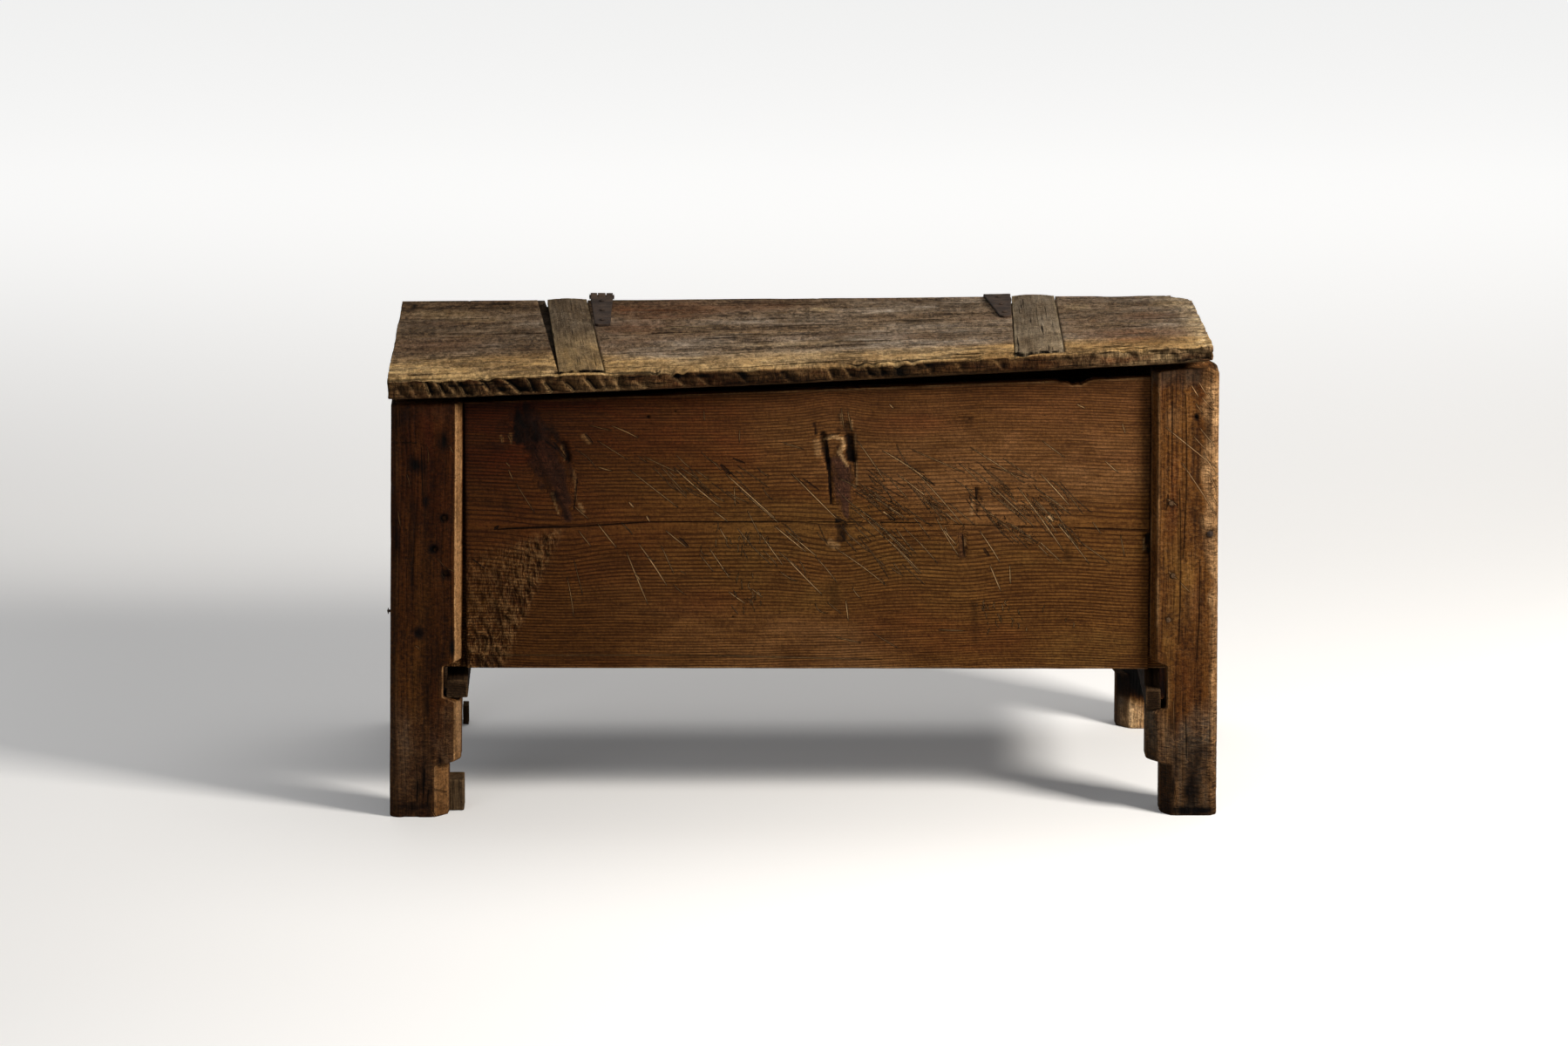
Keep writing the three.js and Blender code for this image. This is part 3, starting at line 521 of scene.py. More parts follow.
def draw_wood_strokes(g, color, height, grit, dark, pale):
    """Scratches and cracks over a wood's colour and height, from the strokes stored in its mesh, with a
    painted shadow along one side of each.
    """
    for channel in range(STROKE_CHANNELS):
        offset, width, tint = g.parts(g.attribute(f"strokes{channel}"))
        wide = g.fma(grit, 0.7, g.less(width, 0.35))
        gap = g.less(wide, g.size(offset))
        cut = g.fma(gap, 2.2, 0.5, clamp=True)
        lip = g.step(g.size(gap), 0.0, 0.8, 1.0, 0.0)
        present = g.step(width, -0.6, -0.1)
        cut = g.times(cut, present)
        # Pale scratches: partly fresh wood, partly painted highlight.
        bright = g.times(cut, g.times(tint, 1.15), clamp=True)
        deep = g.times(cut, g.times(tint, -1.0), clamp=True)
        # Painted shadow: a dark band along one side of each scratch, beside its raised lip.
        side = g.less(g.size(g.less(offset, g.add(width, 0.25))), 0.45)
        scratch_shadow = g.times(g.step(side, -0.4, 0.1, 0.5, 0.0), g.times(present, g.larger(tint, 0.0)))
        color = g.mix(scratch_shadow, color, dimmed(dark, 0.3))
        color = g.mix(g.times(bright, 0.85), color, pale)
        color = g.mix(g.times(deep, 0.9), color, dimmed(dark, 0.12))
        height = g.fma(cut, -1.6, g.fma(g.times(lip, present), 0.5, height))
    return color, height


def wood(name, colors, gloss, lines, relief, checks, flow, speckle, crisp=(230.0, 150.0, 150.0)):
    """Old wood: growth rings, fibres, weathering, knots, stains, scratches and cracks.

    lines is the strength of the growth rings, checks of small cracks, flow of streaks and speckle of
    specks, whose fineness along and across the grain is crisp."""
    light, dark, grey, ochre, red, pale = colors
    g = Graph(name)
    place = g.attribute("grain")
    knot, stain, worn = g.parts(g.attribute("marks"))
    greyness, ochreness, redness = g.parts(g.attribute("tints"))
    tone, rough, ring = g.parts(g.attribute("form"))

    broad = g.noise(place, (2.2, 20.0, 20.0), 4.0, 0.55, 0.4)
    streak = g.noise(place, (6.0, 95.0, 95.0), 5.0, 0.62, 0.2)
    fibre = g.noise(place, (15.0, 290.0, 290.0), 4.0, 0.62)
    fine = g.noise(place, (90.0, 1500.0, 1500.0), 2.0, 0.5)
    blotch = g.noise(place, (14.0, 26.0, 26.0), 6.0, 0.65, 0.6)
    grit = g.noise(place, (260.0, 520.0, 520.0), 3.0, 0.6)
    speck = g.noise(place, crisp, 5.0, 0.72)
    calm = g.times(rough, -1.0, clamp=True)
    rough = g.larger(rough, 0.0)
    speck = g.fma(calm, g.less(0.5, speck), speck)
    tool = g.noise(place, (185.0, 48.0, 48.0), 3.0, 0.5, 0.35)
    chop = g.size(g.less(tool, 0.5))

    phase = g.add(ring, g.fma(streak, 0.22, g.times(blotch, 0.3)))
    line = g.ramp(g.math("FRACT", phase), RING_SHADE)
    line = g.times(line, g.step(g.add(broad, g.times(streak, 0.5)), 0.55, 0.95, 0.5, 1.15))

    threads = 2.6 - 1.4 * min(speckle, 1.0)
    mixed = g.fma(fibre, threads, g.times(fine, 1.2))
    mixed = g.fma(broad, 1.5 * flow, g.fma(streak, 1.5 * flow, mixed))
    even = g.fma(calm, g.times(g.less(0.5, blotch), 0.6), blotch)
    mixed = g.fma(speck, 3.2 * speckle, g.fma(even, 1.6 * speckle, mixed))
    shade = g.less(mixed, 0.1 + threads / 2 + 1.5 * flow + 2.4 * speckle, clamp=True)
    shade = g.less(shade, g.times(line, lines), clamp=True)
    level = g.fma(shade, 0.95, 0.5)
    color = g.mix(shade, dark, light)
    patch = g.step(g.add(blotch, g.times(streak, 0.5)), 0.55, 0.95, 0.35, 1.3)
    for share, tint in ((greyness, grey), (ochreness, ochre), (redness, red)):
        tinted = g.mix(1.0, tint, g.combine(level), "MULTIPLY")
        color = g.mix(g.times(share, patch, clamp=True), color, tinted)
    color = g.mix(knot, color, g.mix(shade, *KNOT_COLORS))

    # Rough places: pale crests, rubbed wood with painted highlight, and painted shade where the chop noise
    # runs low between them.
    crest = g.times(rough, g.step(chop, 0.05, 0.0))
    scuff = g.times(worn, g.step(grit, 0.3, 0.6, 0.45, 1.3), clamp=True)
    scuff = g.larger(scuff, g.times(crest, 0.62))
    color = g.mix(scuff, color, g.mix(1.0, pale, g.combine(level), "MULTIPLY"))
    color = g.mix(g.times(rough, g.step(chop, 0.07, 0.16, 0.0, 0.5)), color, dimmed(dark, 0.5))
    pits = g.times(g.step(grit, 0.60, 0.70), g.step(blotch, 0.42, 0.6, 0.1, 0.8))
    pits = g.times(pits, g.less(1.0, calm))
    color = g.mix(pits, color, dimmed(dark, 0.35))
    split = g.noise(place, (8.0, 420.0, 420.0), 2.0, 0.45)
    split = g.times(g.step(split, 0.645, 0.69), g.step(streak, 0.42, 0.55, 0.2, 1.0))
    split = g.times(split, checks)
    color = g.mix(split, color, dimmed(dark, 0.22))

    height = g.fma(streak, 0.9, g.fma(fibre, 0.9, g.times(line, -0.35)))
    height = g.fma(split, -1.2, g.fma(pits, -0.6, height))
    height = g.fma(speck, 1.6 * speckle, g.fma(blotch, 0.7, height))
    height = g.fma(g.times(g.less(0.25, chop), rough), 6.0, height)
    color, height = draw_wood_strokes(g, color, height, grit, dark, pale)

    color = g.mix(stain, color, dimmed(dark, 0.10))
    warm = g.combine(tone, g.math("POWER", tone, 1.2), g.math("POWER", tone, 1.45))
    color = g.mix(1.0, color, warm, "MULTIPLY")
    g.set("Base Color", color)
    g.set("Roughness", g.fma(blotch, 0.25, g.fma(scuff, 0.15, gloss - 0.12)))
    g.set("Specular IOR Level", 0.05)
    g.bump(height, relief, 0.0012)
    return g.material


def iron(name):
    """Forged iron, brown with old rust."""
    g = Graph(name)
    place = g.node("ShaderNodeTexCoord").outputs["Object"]
    broad = g.noise(place, (40.0, 40.0, 40.0), 4.0, 0.6)
    fine = g.noise(place, (420.0, 420.0, 420.0), 3.0, 0.6)
    hammered = g.noise(place, (110.0, 110.0, 110.0), 2.0, 0.4)
    color = g.mix(g.step(broad, 0.35, 0.65), (0.030, 0.019, 0.0135), (0.053, 0.032, 0.020))
    color = g.mix(g.times(g.step(fine, 0.5, 0.7), 0.5), color, (0.016, 0.012, 0.011))
    g.set("Base Color", color)
    g.set("Metallic", g.step(broad, 0.3, 0.7, 0.45, 0.1))
    g.set("Roughness", g.fma(fine, 0.35, 0.5))
    g.set("Specular IOR Level", 0.2)
    g.bump(g.fma(hammered, 1.2, g.times(fine, 0.4)), 0.6, 0.0012)
    return g.material


# What wood() is given for each slot. The colours are light, dark, grey, ochre, red and pale.
WOODS = {
    "panel_wood": dict(
        colors=((0.180, 0.074, 0.0165), (0.045, 0.0155, 0.0032), (0.125, 0.068, 0.017),
                (0.205, 0.094, 0.034), (0.105, 0.026, 0.0065), (0.50, 0.295, 0.13)),
        gloss=0.62, lines=1.2, relief=1.6, checks=0.2, flow=0.12, speckle=0.52,
    ),
    "post_wood": dict(
        colors=((0.192, 0.074, 0.0155), (0.034, 0.0115, 0.003), (0.150, 0.118, 0.089),
                (0.23, 0.112, 0.026), (0.095, 0.024, 0.0065), (0.54, 0.31, 0.14)),
        gloss=0.66, lines=0.30, relief=1.5, checks=0.25, flow=0.2, speckle=0.8,
    ),
    "lid_wood": dict(
        colors=((0.305, 0.185, 0.092), (0.036, 0.021, 0.0112), (0.265, 0.208, 0.152),
                (0.40, 0.245, 0.097), (0.150, 0.062, 0.027), (0.60, 0.43, 0.23)),
        gloss=0.82, lines=0.35, relief=2.0, checks=1.2, flow=0.2, speckle=1.2, crisp=(190.0, 84.0, 84.0),
    ),
    "batten_wood": dict(
        colors=((0.235, 0.15, 0.078), (0.042, 0.026, 0.014), (0.165, 0.128, 0.088),
                (0.34, 0.215, 0.088), (0.11, 0.055, 0.03), (0.5, 0.37, 0.21)),
        gloss=0.82, lines=1.0, relief=1.8, checks=1.1, flow=0.3, speckle=0.8,
    ),
    "floor_wood": dict(
        colors=((0.19, 0.105, 0.045), (0.07, 0.035, 0.015), (0.16, 0.12, 0.08),
                (0.24, 0.15, 0.07), (0.11, 0.045, 0.02), (0.4, 0.27, 0.15)),
        gloss=0.8, lines=0.6, relief=1.0, checks=0.4, flow=0.5, speckle=0.2,
    ),
    # The bearers' dark colours are painted shade: they lie in shadow under the floor.
    "bearer_wood": dict(
        colors=((0.10, 0.060, 0.032), (0.022, 0.0135, 0.008), (0.10, 0.076, 0.054),
                (0.16, 0.095, 0.042), (0.06, 0.026, 0.013), (0.40, 0.30, 0.20)),
        gloss=0.82, lines=0.5, relief=1.3, checks=0.6, flow=0.5, speckle=0.4,
    ),
    "block_wood": dict(
        colors=((0.19, 0.115, 0.052), (0.05, 0.029, 0.013), (0.14, 0.105, 0.07),
                (0.24, 0.145, 0.067), (0.09, 0.04, 0.018), (0.45, 0.32, 0.19)),
        gloss=0.8, lines=0.45, relief=1.3, checks=0.6, flow=0.5, speckle=0.35,
    ),
    "peg_wood": dict(
        colors=((0.06, 0.028, 0.011), (0.018, 0.009, 0.004), (0.10, 0.075, 0.045),
                (0.12, 0.07, 0.03), (0.05, 0.018, 0.008), (0.36, 0.22, 0.12)),
        gloss=0.65, lines=0.5, relief=0.9, checks=0.5, flow=0.8, speckle=0.2,
    ),
}
MATERIALS = {name: wood(name, **looks) for name, looks in WOODS.items()}
MATERIALS["forged_iron"] = iron("forged_iron")


def wood_values(grain, ring, tone, marks, tints=(0, 0, 0), rough=0, strokes=None):
    """The values that the wood materials read at each vertex.

    grain is the place in the wood, with the grain along its first part. marks are knot, stain and
    worn, and tints are grey, ochre and red. A rough below 0 calms the wood's specks instead."""
    def triple(values):
        return columns(ring, *values)[:, 1:]

    fields = {
        "grain": triple(grain) / METRE,
        "form": triple((tone, rough, ring)),
        "marks": np.clip(triple(marks), 0, 1),
        "tints": np.clip(triple(tints), 0, 1),
    }
    for channel, field in enumerate(strokes or empty_strokes(len(ring))):
        fields[f"strokes{channel}"] = field
    return fields


# Front panel

PANEL_FACE_STEP = 2.35
PANEL_RISE_STEP = 2.1
PANEL_SHOULDERS = (-460.6, 473.0)
PANEL_TONGUE_DROP = 7.0
# How much of the block's depth the rings round the tongue keep, so that no two lie on each other
TONGUE_LAYER = 0.06
PANEL_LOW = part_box("front_panel")[0] * METRE
PANEL_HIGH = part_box("front_panel")[1] * METRE
PANEL_FACE = PANEL_LOW.y
PANEL_THICKNESS = PANEL_HIGH.y - PANEL_LOW.y
PANEL_BOTTOM_LEFT = 207.0
PANEL_BOTTOM_RIGHT = 203.0
PANEL_TOP_LEFT = 578.0
PANEL_TOP_RIGHT = 614.5
PANEL_CHIP = (369.8, 30.0, 9.0)

# Scratches seen on the front panel: start and end in photo pixels, half width in mm, tone from 1 for
# pale to -1 for dark, and the bow in mm of those that aren't straight
PANEL_SCRATCHES = [
    (675, 487, 702, 494, 0.5, 0.8), (701, 488, 732, 502, 0.9, 0.9, 1),
    (685, 505, 720, 527, 0.6, 0.7), (671, 497, 680, 508, 1.3, -0.7), (720, 537, 778, 582, 0.55, 0.9),
    (738, 523, 778, 542, 0.6, 0.6), (772, 535, 827, 582, 0.9, 0.9, -1),
    (782, 542, 812, 572, 0.6, 0.6), (758, 535, 788, 568, 0.5, 0.7), (776, 533, 802, 550, 0.5, 0.5),
    (826, 532, 838, 544, 2.2, -0.9), (832, 543, 892, 597, 0.9, 0.9), (845, 558, 903, 608, 0.6, 0.6),
    (887, 602, 925, 633, 0.8, 0.9), (840, 525, 855, 531, 0.9, -0.8), (842, 558, 843, 580, 0.6, 0.8),
    (857, 585, 872, 615, 0.5, 0.7), (872, 612, 898, 648, 0.7, 0.9), (892, 632, 918, 653, 0.5, 0.6),
    (907, 543, 925, 558, 0.9, -0.8), (685, 600, 707, 628, 0.8, 0.9), (663, 608, 678, 627, 0.6, 0.8),
    (658, 580, 675, 595, 0.6, 0.7), (718, 632, 743, 693, 0.8, 0.9),
    (732, 623, 765, 672, 0.9, 0.9, 1), (758, 625, 773, 658, 0.5, 0.7),
    (763, 608, 788, 628, 0.7, 0.7), (779, 616, 790, 627, 1.4, -0.8), (813, 628, 837, 663, 0.7, 0.8),
    (802, 635, 818, 655, 0.5, 0.6), (721, 575, 727, 582, 1.2, 0.7), (741, 591, 745, 598, 1.0, 0.8),
    (728, 658, 734, 665, 1.5, 0.7), (650, 661, 658, 708, 0.6, 0.8, 1),
    (658, 641, 668, 682, 0.4, 0.6), (583, 538, 588, 550, 0.8, 0.8), (592, 555, 613, 588, 0.5, 0.8),
    (580, 530, 585, 535, 0.8, 0.8), (662, 548, 658, 585, 0.9, -0.7), (625, 505, 638, 515, 1.2, -0.8),
    (635, 507, 650, 528, 1.7, -0.8), (575, 500, 575, 508, 0.8, 0.8), (582, 498, 587, 508, 0.8, 0.8),
    (712, 598, 725, 612, 0.4, 0.6), (818, 585, 835, 598, 0.6, 0.8), (825, 605, 835, 622, 0.6, 0.8),
    (845, 605, 862, 625, 0.5, 0.7), (858, 622, 885, 648, 0.4, 0.7), (835, 678, 855, 692, 0.8, 0.7),
    (862, 675, 875, 685, 0.6, 0.8), (848, 492, 848, 507, 0.4, 0.7), (807, 470, 808, 482, 0.4, 0.7),
    (897, 507, 922, 515, 0.5, 0.7), (685, 535, 702, 540, 1.0, 0.7),
    (1011, 516, 1070, 555, 0.9, 0.9, 2), (983, 505, 1015, 552, 0.6, 0.8, 1),
    (1028, 543, 1100, 602, 0.7, 0.9, 2), (1050, 540, 1107, 605, 0.6, 0.8, 1),
    (1047, 538, 1073, 557, 1.2, -0.8), (1073, 592, 1100, 638, 0.6, 0.8, -1),
    (981, 565, 1027, 597, 0.9, 0.9, 1), (1017, 590, 1027, 597, 2.2, -0.7),
    (977, 555, 1043, 597, 0.6, 0.8, 1), (983, 582, 1047, 638, 0.6, 0.8, 2),
    (997, 592, 1043, 638, 0.5, 0.7, 1), (1010, 612, 1057, 658, 0.6, 0.8, 2),
    (1027, 605, 1047, 632, 0.5, 0.7), (957, 628, 1017, 672, 0.6, 0.8, 2),
    (907, 542, 963, 598, 0.8, 0.8), (900, 607, 937, 638, 0.8, 0.9), (900, 638, 943, 682, 0.8, 0.9),
    (935, 638, 960, 668, 0.5, 0.7, 1), (1113, 513, 1177, 555, 0.6, 0.8, 1),
    (1127, 548, 1187, 605, 0.6, 0.8, 1), (1150, 525, 1190, 552, 0.4, 0.6),
    (1167, 558, 1220, 632, 0.7, 0.9, 1), (1177, 565, 1213, 612, 0.7, 0.8, 1),
    (1187, 572, 1250, 647, 0.6, 0.9, 2), (1193, 543, 1227, 580, 0.8, 0.9, 1),
    (1200, 588, 1208, 598, 1.8, 0.9), (1133, 558, 1157, 580, 0.6, 0.7),
    (1173, 605, 1203, 638, 0.5, 0.8), (1183, 612, 1218, 645, 0.5, 0.8),
    (1123, 608, 1147, 645, 0.7, 0.9, 1), (1128, 628, 1135, 638, 1.6, -0.8),
    (1135, 647, 1148, 678, 0.8, 0.9), (1158, 647, 1159, 670, 0.7, 0.8),
    (1195, 505, 1222, 525, 0.5, 0.8), (1267, 528, 1283, 542, 0.7, 0.8),
    (1287, 485, 1291, 497, 0.6, 0.8), (970, 688, 973, 712, 0.8, 0.9), (957, 730, 988, 737, 0.5, 0.8),
    (1000, 725, 1030, 743, 0.4, 0.5), (1075, 722, 1107, 723, 0.5, 0.8),
    (1082, 607, 1097, 625, 0.8, 0.9), (1045, 515, 1107, 542, 0.5, 0.7),
    (920, 548, 940, 562, 0.7, -0.7), (1285, 612, 1290, 638, 0.4, 0.7),
    (1253, 598, 1263, 612, 0.5, 0.6), (1020, 463, 1025, 468, 1.0, 0.8),
    (1235, 463, 1245, 468, 1.0, 0.8), (1075, 585, 1087, 612, 0.6, 0.8),
    (1060, 568, 1087, 598, 0.5, 0.7), (1210, 592, 1237, 628, 0.4, 0.7),
    (965, 468, 968, 492, 0.6, 0.9), (972, 470, 977, 495, 0.6, 0.9), (558, 751, 798, 751, 0.55, 0.8),
    (798, 751, 1012, 756, 0.5, 0.7),
]

# Cracks: the long one near the heart of the board in several lengths, and others, in the same terms
PANEL_CRACKS = [
    (566, 607, 572, 603, 2.2, -1.0), (568, 607, 658, 604, 1.0, -1.0, 1),
    (655, 604, 745, 598, 0.6, -0.8), (742, 598, 925, 598, 0.45, -0.55),
    (925, 598, 1060, 599, 0.6, -0.7), (1060, 600, 1200, 604, 0.2, -0.2),
    (1195, 604, 1318, 607, 0.25, -0.2), (948, 505, 953, 578, 1.5, -0.9, 1),
    (541, 640, 556, 652, 0.5, -0.5), (977, 500, 981, 548, 1.0, -0.6, 1),
    (1119, 558, 1121, 588, 0.4, -0.6), (1104, 612, 1106, 638, 0.5, -0.6),
]

# Small holes: photo pixel, and half width in mm
PANEL_HOLES = [
    (743, 478, 2.4), (774, 472, 1.2), (1112, 480, 1.0), (840, 707, 1.2), (1316, 622, 3.5),
]

# The knots that grow from the heart: foot, tip and half widths at both in photo pixels, and depth of
# colour
PANEL_KNOTS = [
    (604, 482, 636, 545, 14.0, 15.0, 0.8), (636, 545, 652, 594, 14.0, 4.0, 0.85),
    (963, 528, 968, 570, 9.5, 8.5, 0.95), (968, 570, 970, 592, 7.5, 3.0, 0.9),
    (1102, 612, 1103, 636, 4.5, 3.5, 0.5),
]
# Dark hollows and stains, in the same terms, and painted shade at the panel's ends
PANEL_DARKS = [
    (594, 474, 595, 502, 5, 8, 0.75), (603, 464, 606, 492, 5, 8, 0.6),
    (613, 484, 615, 503, 4, 5, 0.75), (602, 498, 612, 516, 8, 7, 0.45),
    (612, 520, 636, 572, 5, 5, 0.36), (636, 568, 650, 592, 6, 3, 0.55),
    (640, 538, 650, 572, 6, 5, 0.32), (646, 509, 651, 527, 3.2, 2.4, 0.95),
    (628, 488, 642, 504, 7, 5, 0.35), (575, 488, 590, 500, 8, 6, 0.25),
    (618, 505, 632, 520, 9, 7, 0.3), (560, 512, 575, 516, 6, 4, 0.3),
    (580, 570, 581, 584, 4, 5, 0.3), (560, 572, 561, 578, 3, 3, 0.25),
    (943, 498, 946, 518, 3.2, 3.6, 1.0), (946, 518, 950, 532, 3.4, 2.0, 1.0),
    (950, 532, 953, 577, 1.6, 1.3, 1.0), (972, 502, 976, 526, 4.6, 5.2, 1.0),
    (969, 486, 974, 500, 3.5, 4.6, 0.75), (962, 492, 974, 496, 3, 4, 0.6),
    (964, 474, 966, 486, 3.5, 4.5, 0.35), (981, 490, 983, 556, 1.6, 1.4, 0.5),
    (946, 500, 962, 497, 1.5, 1.5, 0.7), (934, 485, 936, 497, 2.2, 1.8, 0.8),
    (960, 597, 968, 599, 2.6, 2, 0.8), (964, 606, 964, 616, 6, 7, 0.6),
    (1119, 560, 1120, 586, 1.8, 1.5, 0.6), (1104, 616, 1106, 634, 3.2, 2.6, 0.55),
    (1225, 630, 1226, 640, 7, 6, 0.3), (1317, 616, 1318, 632, 5, 4, 0.92),
    (957, 672, 957, 690, 6, 5, 0.35), (1118, 690, 1118, 735, 4, 3, 0.3),
    # Painted shade: the tall row at the end of this line and the first on the next darken the panel's ends
    # in the gaps beside the posts.
    (1216, 434, 1246, 431, 4.5, 4.5, 0.7), (1321, 470, 1321, 735, 6, 6, 0.3),
    (533, 465, 534, 760, 3, 3, 0.45), (1110, 480, 1111, 481, 5, 5, 0.3),
    (870, 586, 871, 590, 3, 3, 0.3), (740, 702, 760, 706, 6, 3, 0.2),
]
# Pale, freshly broken or rubbed places, in the same terms
PANEL_PALES = [
    (945, 504, 955, 500, 1.6, 2.2, 0.95), (955, 500, 966, 503, 2.2, 2.4, 0.95),
    (966, 503, 967.5, 513, 2.4, 3.0, 0.95), (967, 513, 962, 519, 3.0, 2.6, 0.8),
    (963, 519, 972, 534, 2.4, 1.2, 0.85), (937, 506, 938, 520, 3.6, 4, 0.3),
    (1115, 572, 1114, 590, 1.5, 1.4, 0.3), (1106, 618, 1107, 626, 1.2, 1.2, 0.3),
    (644, 512, 648, 527, 1.5, 1.2, 0.8), (952, 622, 958, 626, 4, 5, 0.35),
    (1312, 618, 1313, 630, 1.6, 1.4, 0.8), (633, 566, 640, 588, 1.4, 1.0, 0.6),
    (574, 499, 577, 507, 1.2, 1.0, 0.7), (585, 497, 586, 508, 1.2, 1.0, 0.7),
    (669, 500, 675, 507, 3, 2.4, 0.45), (658, 540, 661, 575, 1.2, 1.0, 0.4),
    (560, 742, 585, 752, 3, 2, 0.3), (964, 474, 964, 487, 1.0, 1.0, 0.7),
    (977, 482, 977, 493, 1.0, 1.0, 0.7), (981, 498, 982, 555, 0.9, 0.9, 0.45),
    (664, 578, 668, 586, 2, 2, 0.5),
]
# Hollows in the surface, with the depth in mm last
PANEL_HOLLOWS = [
    (943, 500, 948, 530, 4.0, 3.0, 4.0), (973, 502, 976, 526, 5.5, 5.5, 4.6),
    (954, 512, 955, 522, 6, 5, 0.9), (646, 510, 651, 526, 4.2, 3.4, 3.0),
    (1120, 562, 1120, 584, 3.4, 3, 1.5), (1105, 614, 1106, 634, 3.4, 3, 1.5),
    (1317, 616, 1318, 632, 6, 5, 4.0), (964, 606, 964, 615, 7, 6, 1.4),
    (594, 480, 606, 508, 7, 9, 1.4), (950, 532, 953, 577, 2.2, 1.8, 1.8),
    (970, 488, 974, 500, 5, 5, 2.0),
]
# The right and upper ends of the chopping marks, as two pixels on each
HATCH_RIGHT = ((642, 608), (585, 742))
HATCH_TOP = ((642, 608), (531, 640))

# Fields of fine scratches: centre and half sizes, then their angle and its spread in degrees, their
# length, how many they are, and the seed
PANEL_FIELDS = [
    (800, 540, 80, 30, 40, 6, 34, 22, 21), (1010, 580, 60, 45, 42, 8, 44, 44, 22),
    (1160, 570, 70, 40, 44, 7, 42, 42, 23), (900, 640, 150, 50, 48, 12, 20, 24, 24),
    (850, 615, 24, 10, 80, 14, 12, 14, 26), (858, 680, 18, 18, 80, 14, 9, 14, 27),
    (1155, 698, 60, 16, 90, 12, 8, 26, 25),
]


def photo_strokes(rows, y):
    """Strokes given in photo pixels, as lines on the upright plane at a depth."""
    strokes = []
    for x0, y0, x1, y1, width, tone, *bend in rows:
        start, end = on_upright([(x0, y0), (x1, y1)], y)
        strokes.append((bent_line(start, end, *bend), width, tone))
    return strokes


def pixel_size(y):
    """The width of a photo pixel on the upright plane at a depth."""
    left, right = on_upright([(0, 0), (1, 0)], y)
    return right[0] - left[0]


def photo_spots(rows, y):
    """Soft oval spots given in photo pixels, as spots in mm on the upright plane at a depth."""
    scale = pixel_size(y)
    spots = []
    for px, py, wide, high, *rest in rows:
        spots.append((*on_upright([(px, py)], y)[0], wide * scale, high * scale, *rest))
    return spots


def random_scratches(px, py, wide, high, angle, spread, length, count, seed):
    """Fine scratches strewn over an oval field of the front panel."""
    chance = np.random.default_rng(seed)
    rows = []
    for _ in range(count):
        x = px + wide * chance.normal() * 0.6
        y = py + high * chance.normal() * 0.6
        turn = math.radians(angle + spread * chance.normal())
        reach = length * (0.4 + chance.random())
        end = (x + reach * math.cos(turn), y + reach * math.sin(turn))
        bend, width = 2 * chance.normal(), 0.2 + 0.3 * chance.random()
        rows.append((x, y, *end, width, 0.25 + 0.5 * chance.random(), bend))
    return photo_strokes(rows, PANEL_FACE)


def capsules(places, rows, y, ragged=0.0):
    """The largest value of tapering spots with round ends, and the distance from the nearest in widths."""
    field = np.zeros(len(places))
    nearest = np.full(len(places), 9.0)
    scale = pixel_size(y)
    for x0, y0, x1, y1, wide0, wide1, value in rows:
        start, end = on_upright([(x0, y0), (x1, y1)], y)
        along = end - start
        offset = places - start
        t = np.clip((offset @ along) / (along @ along), 0, 1)
        gap = np.linalg.norm(offset - t[:, None] * along, axis=1)
        width = (wide0 + (wide1 - wide0) * t) * scale
        gap = gap / width + ragged
        field = np.maximum(field, value * smooth(1.35, 0.65, gap))
        nearest = np.minimum(nearest, gap)
    return field, nearest


# Places where the growth rings bend: photo pixel, half width and how far they bend, in mm
PANEL_BENDS = [
    (962, 640, 60, 14), (640, 640, 55, 10), (1110, 660, 45, 7), (960, 470, 40, -9),
]


def panel_rings(x, z, depth):
    """The growth rings on the panel, which was sawn through the heart of the tree."""
    wobble = columns(x, 0, 0)
    heart = 408 + 4 * noise(wobble, (260, 1, 1), 3) + 2 * noise(wobble, (90, 1, 1), 4)
    bend = np.zeros(len(x))
    for px, py, wide, far in PANEL_BENDS:
        at = on_upright([(px, py)], PANEL_FACE)[0]
        bend += far * bell((x - at[0]) / wide) * bell((z - at[1]) / 60)
    wave = 3.0 * fractal(columns(x, z, depth), (180, 70, 60), 5)
    radius = np.hypot(z - heart + bend + wave * smooth(0, 90, np.abs(z - heart)), depth + 5)
    return radius / 6.6 + 7.5 * (radius / 150) ** 2


def through(ends, place, axis):
    """Where the line through two points lies at a place on the other axis than axis."""
    (start, end), other = ends, 1 - axis
    slope = (end[axis] - start[axis]) / (end[other] - start[other])
    return start[axis] + (place - start[other]) * slope


def hatch_share(x, z):
    """The share of chopping marks on the lower left of the front panel."""
    edge = through(on_upright(HATCH_RIGHT, PANEL_FACE), z, 0)
    roof = through(on_upright(HATCH_TOP, PANEL_FACE), x, 1)
    inside = smooth(edge + 10, edge - 8, x) * smooth(roof + 12, roof - 12, z)
    core = 0.45 + 0.55 * smooth(90, 0, edge - x)
    low = smooth(roof - 60, roof - 130, z)
    return inside * np.maximum(core, low)


def panel_outline(rounded, height):
    """Where points of the flat block come on the panel: x, z and the height of its top edge."""
    x = rounded[:, 0]
    share = (x - PANEL_LOW.x) / (PANEL_HIGH.x - PANEL_LOW.x)
    chip_at, chip_wide, chip_deep = PANEL_CHIP
    chip = chip_deep * np.exp(-(np.abs(x - chip_at) / (chip_wide * 0.62)) ** 3)
    chip = chip * (0.62 + 0.4 * fractal(columns(x, 0, 0), (9, 1, 1), 42))
    bottom = PANEL_BOTTOM_LEFT + (PANEL_BOTTOM_RIGHT - PANEL_BOTTOM_LEFT) * share
    top = PANEL_TOP_LEFT + (PANEL_TOP_RIGHT - PANEL_TOP_LEFT) * share - chip
    return x, bottom + (top - bottom) * rounded[:, 1] / height, top


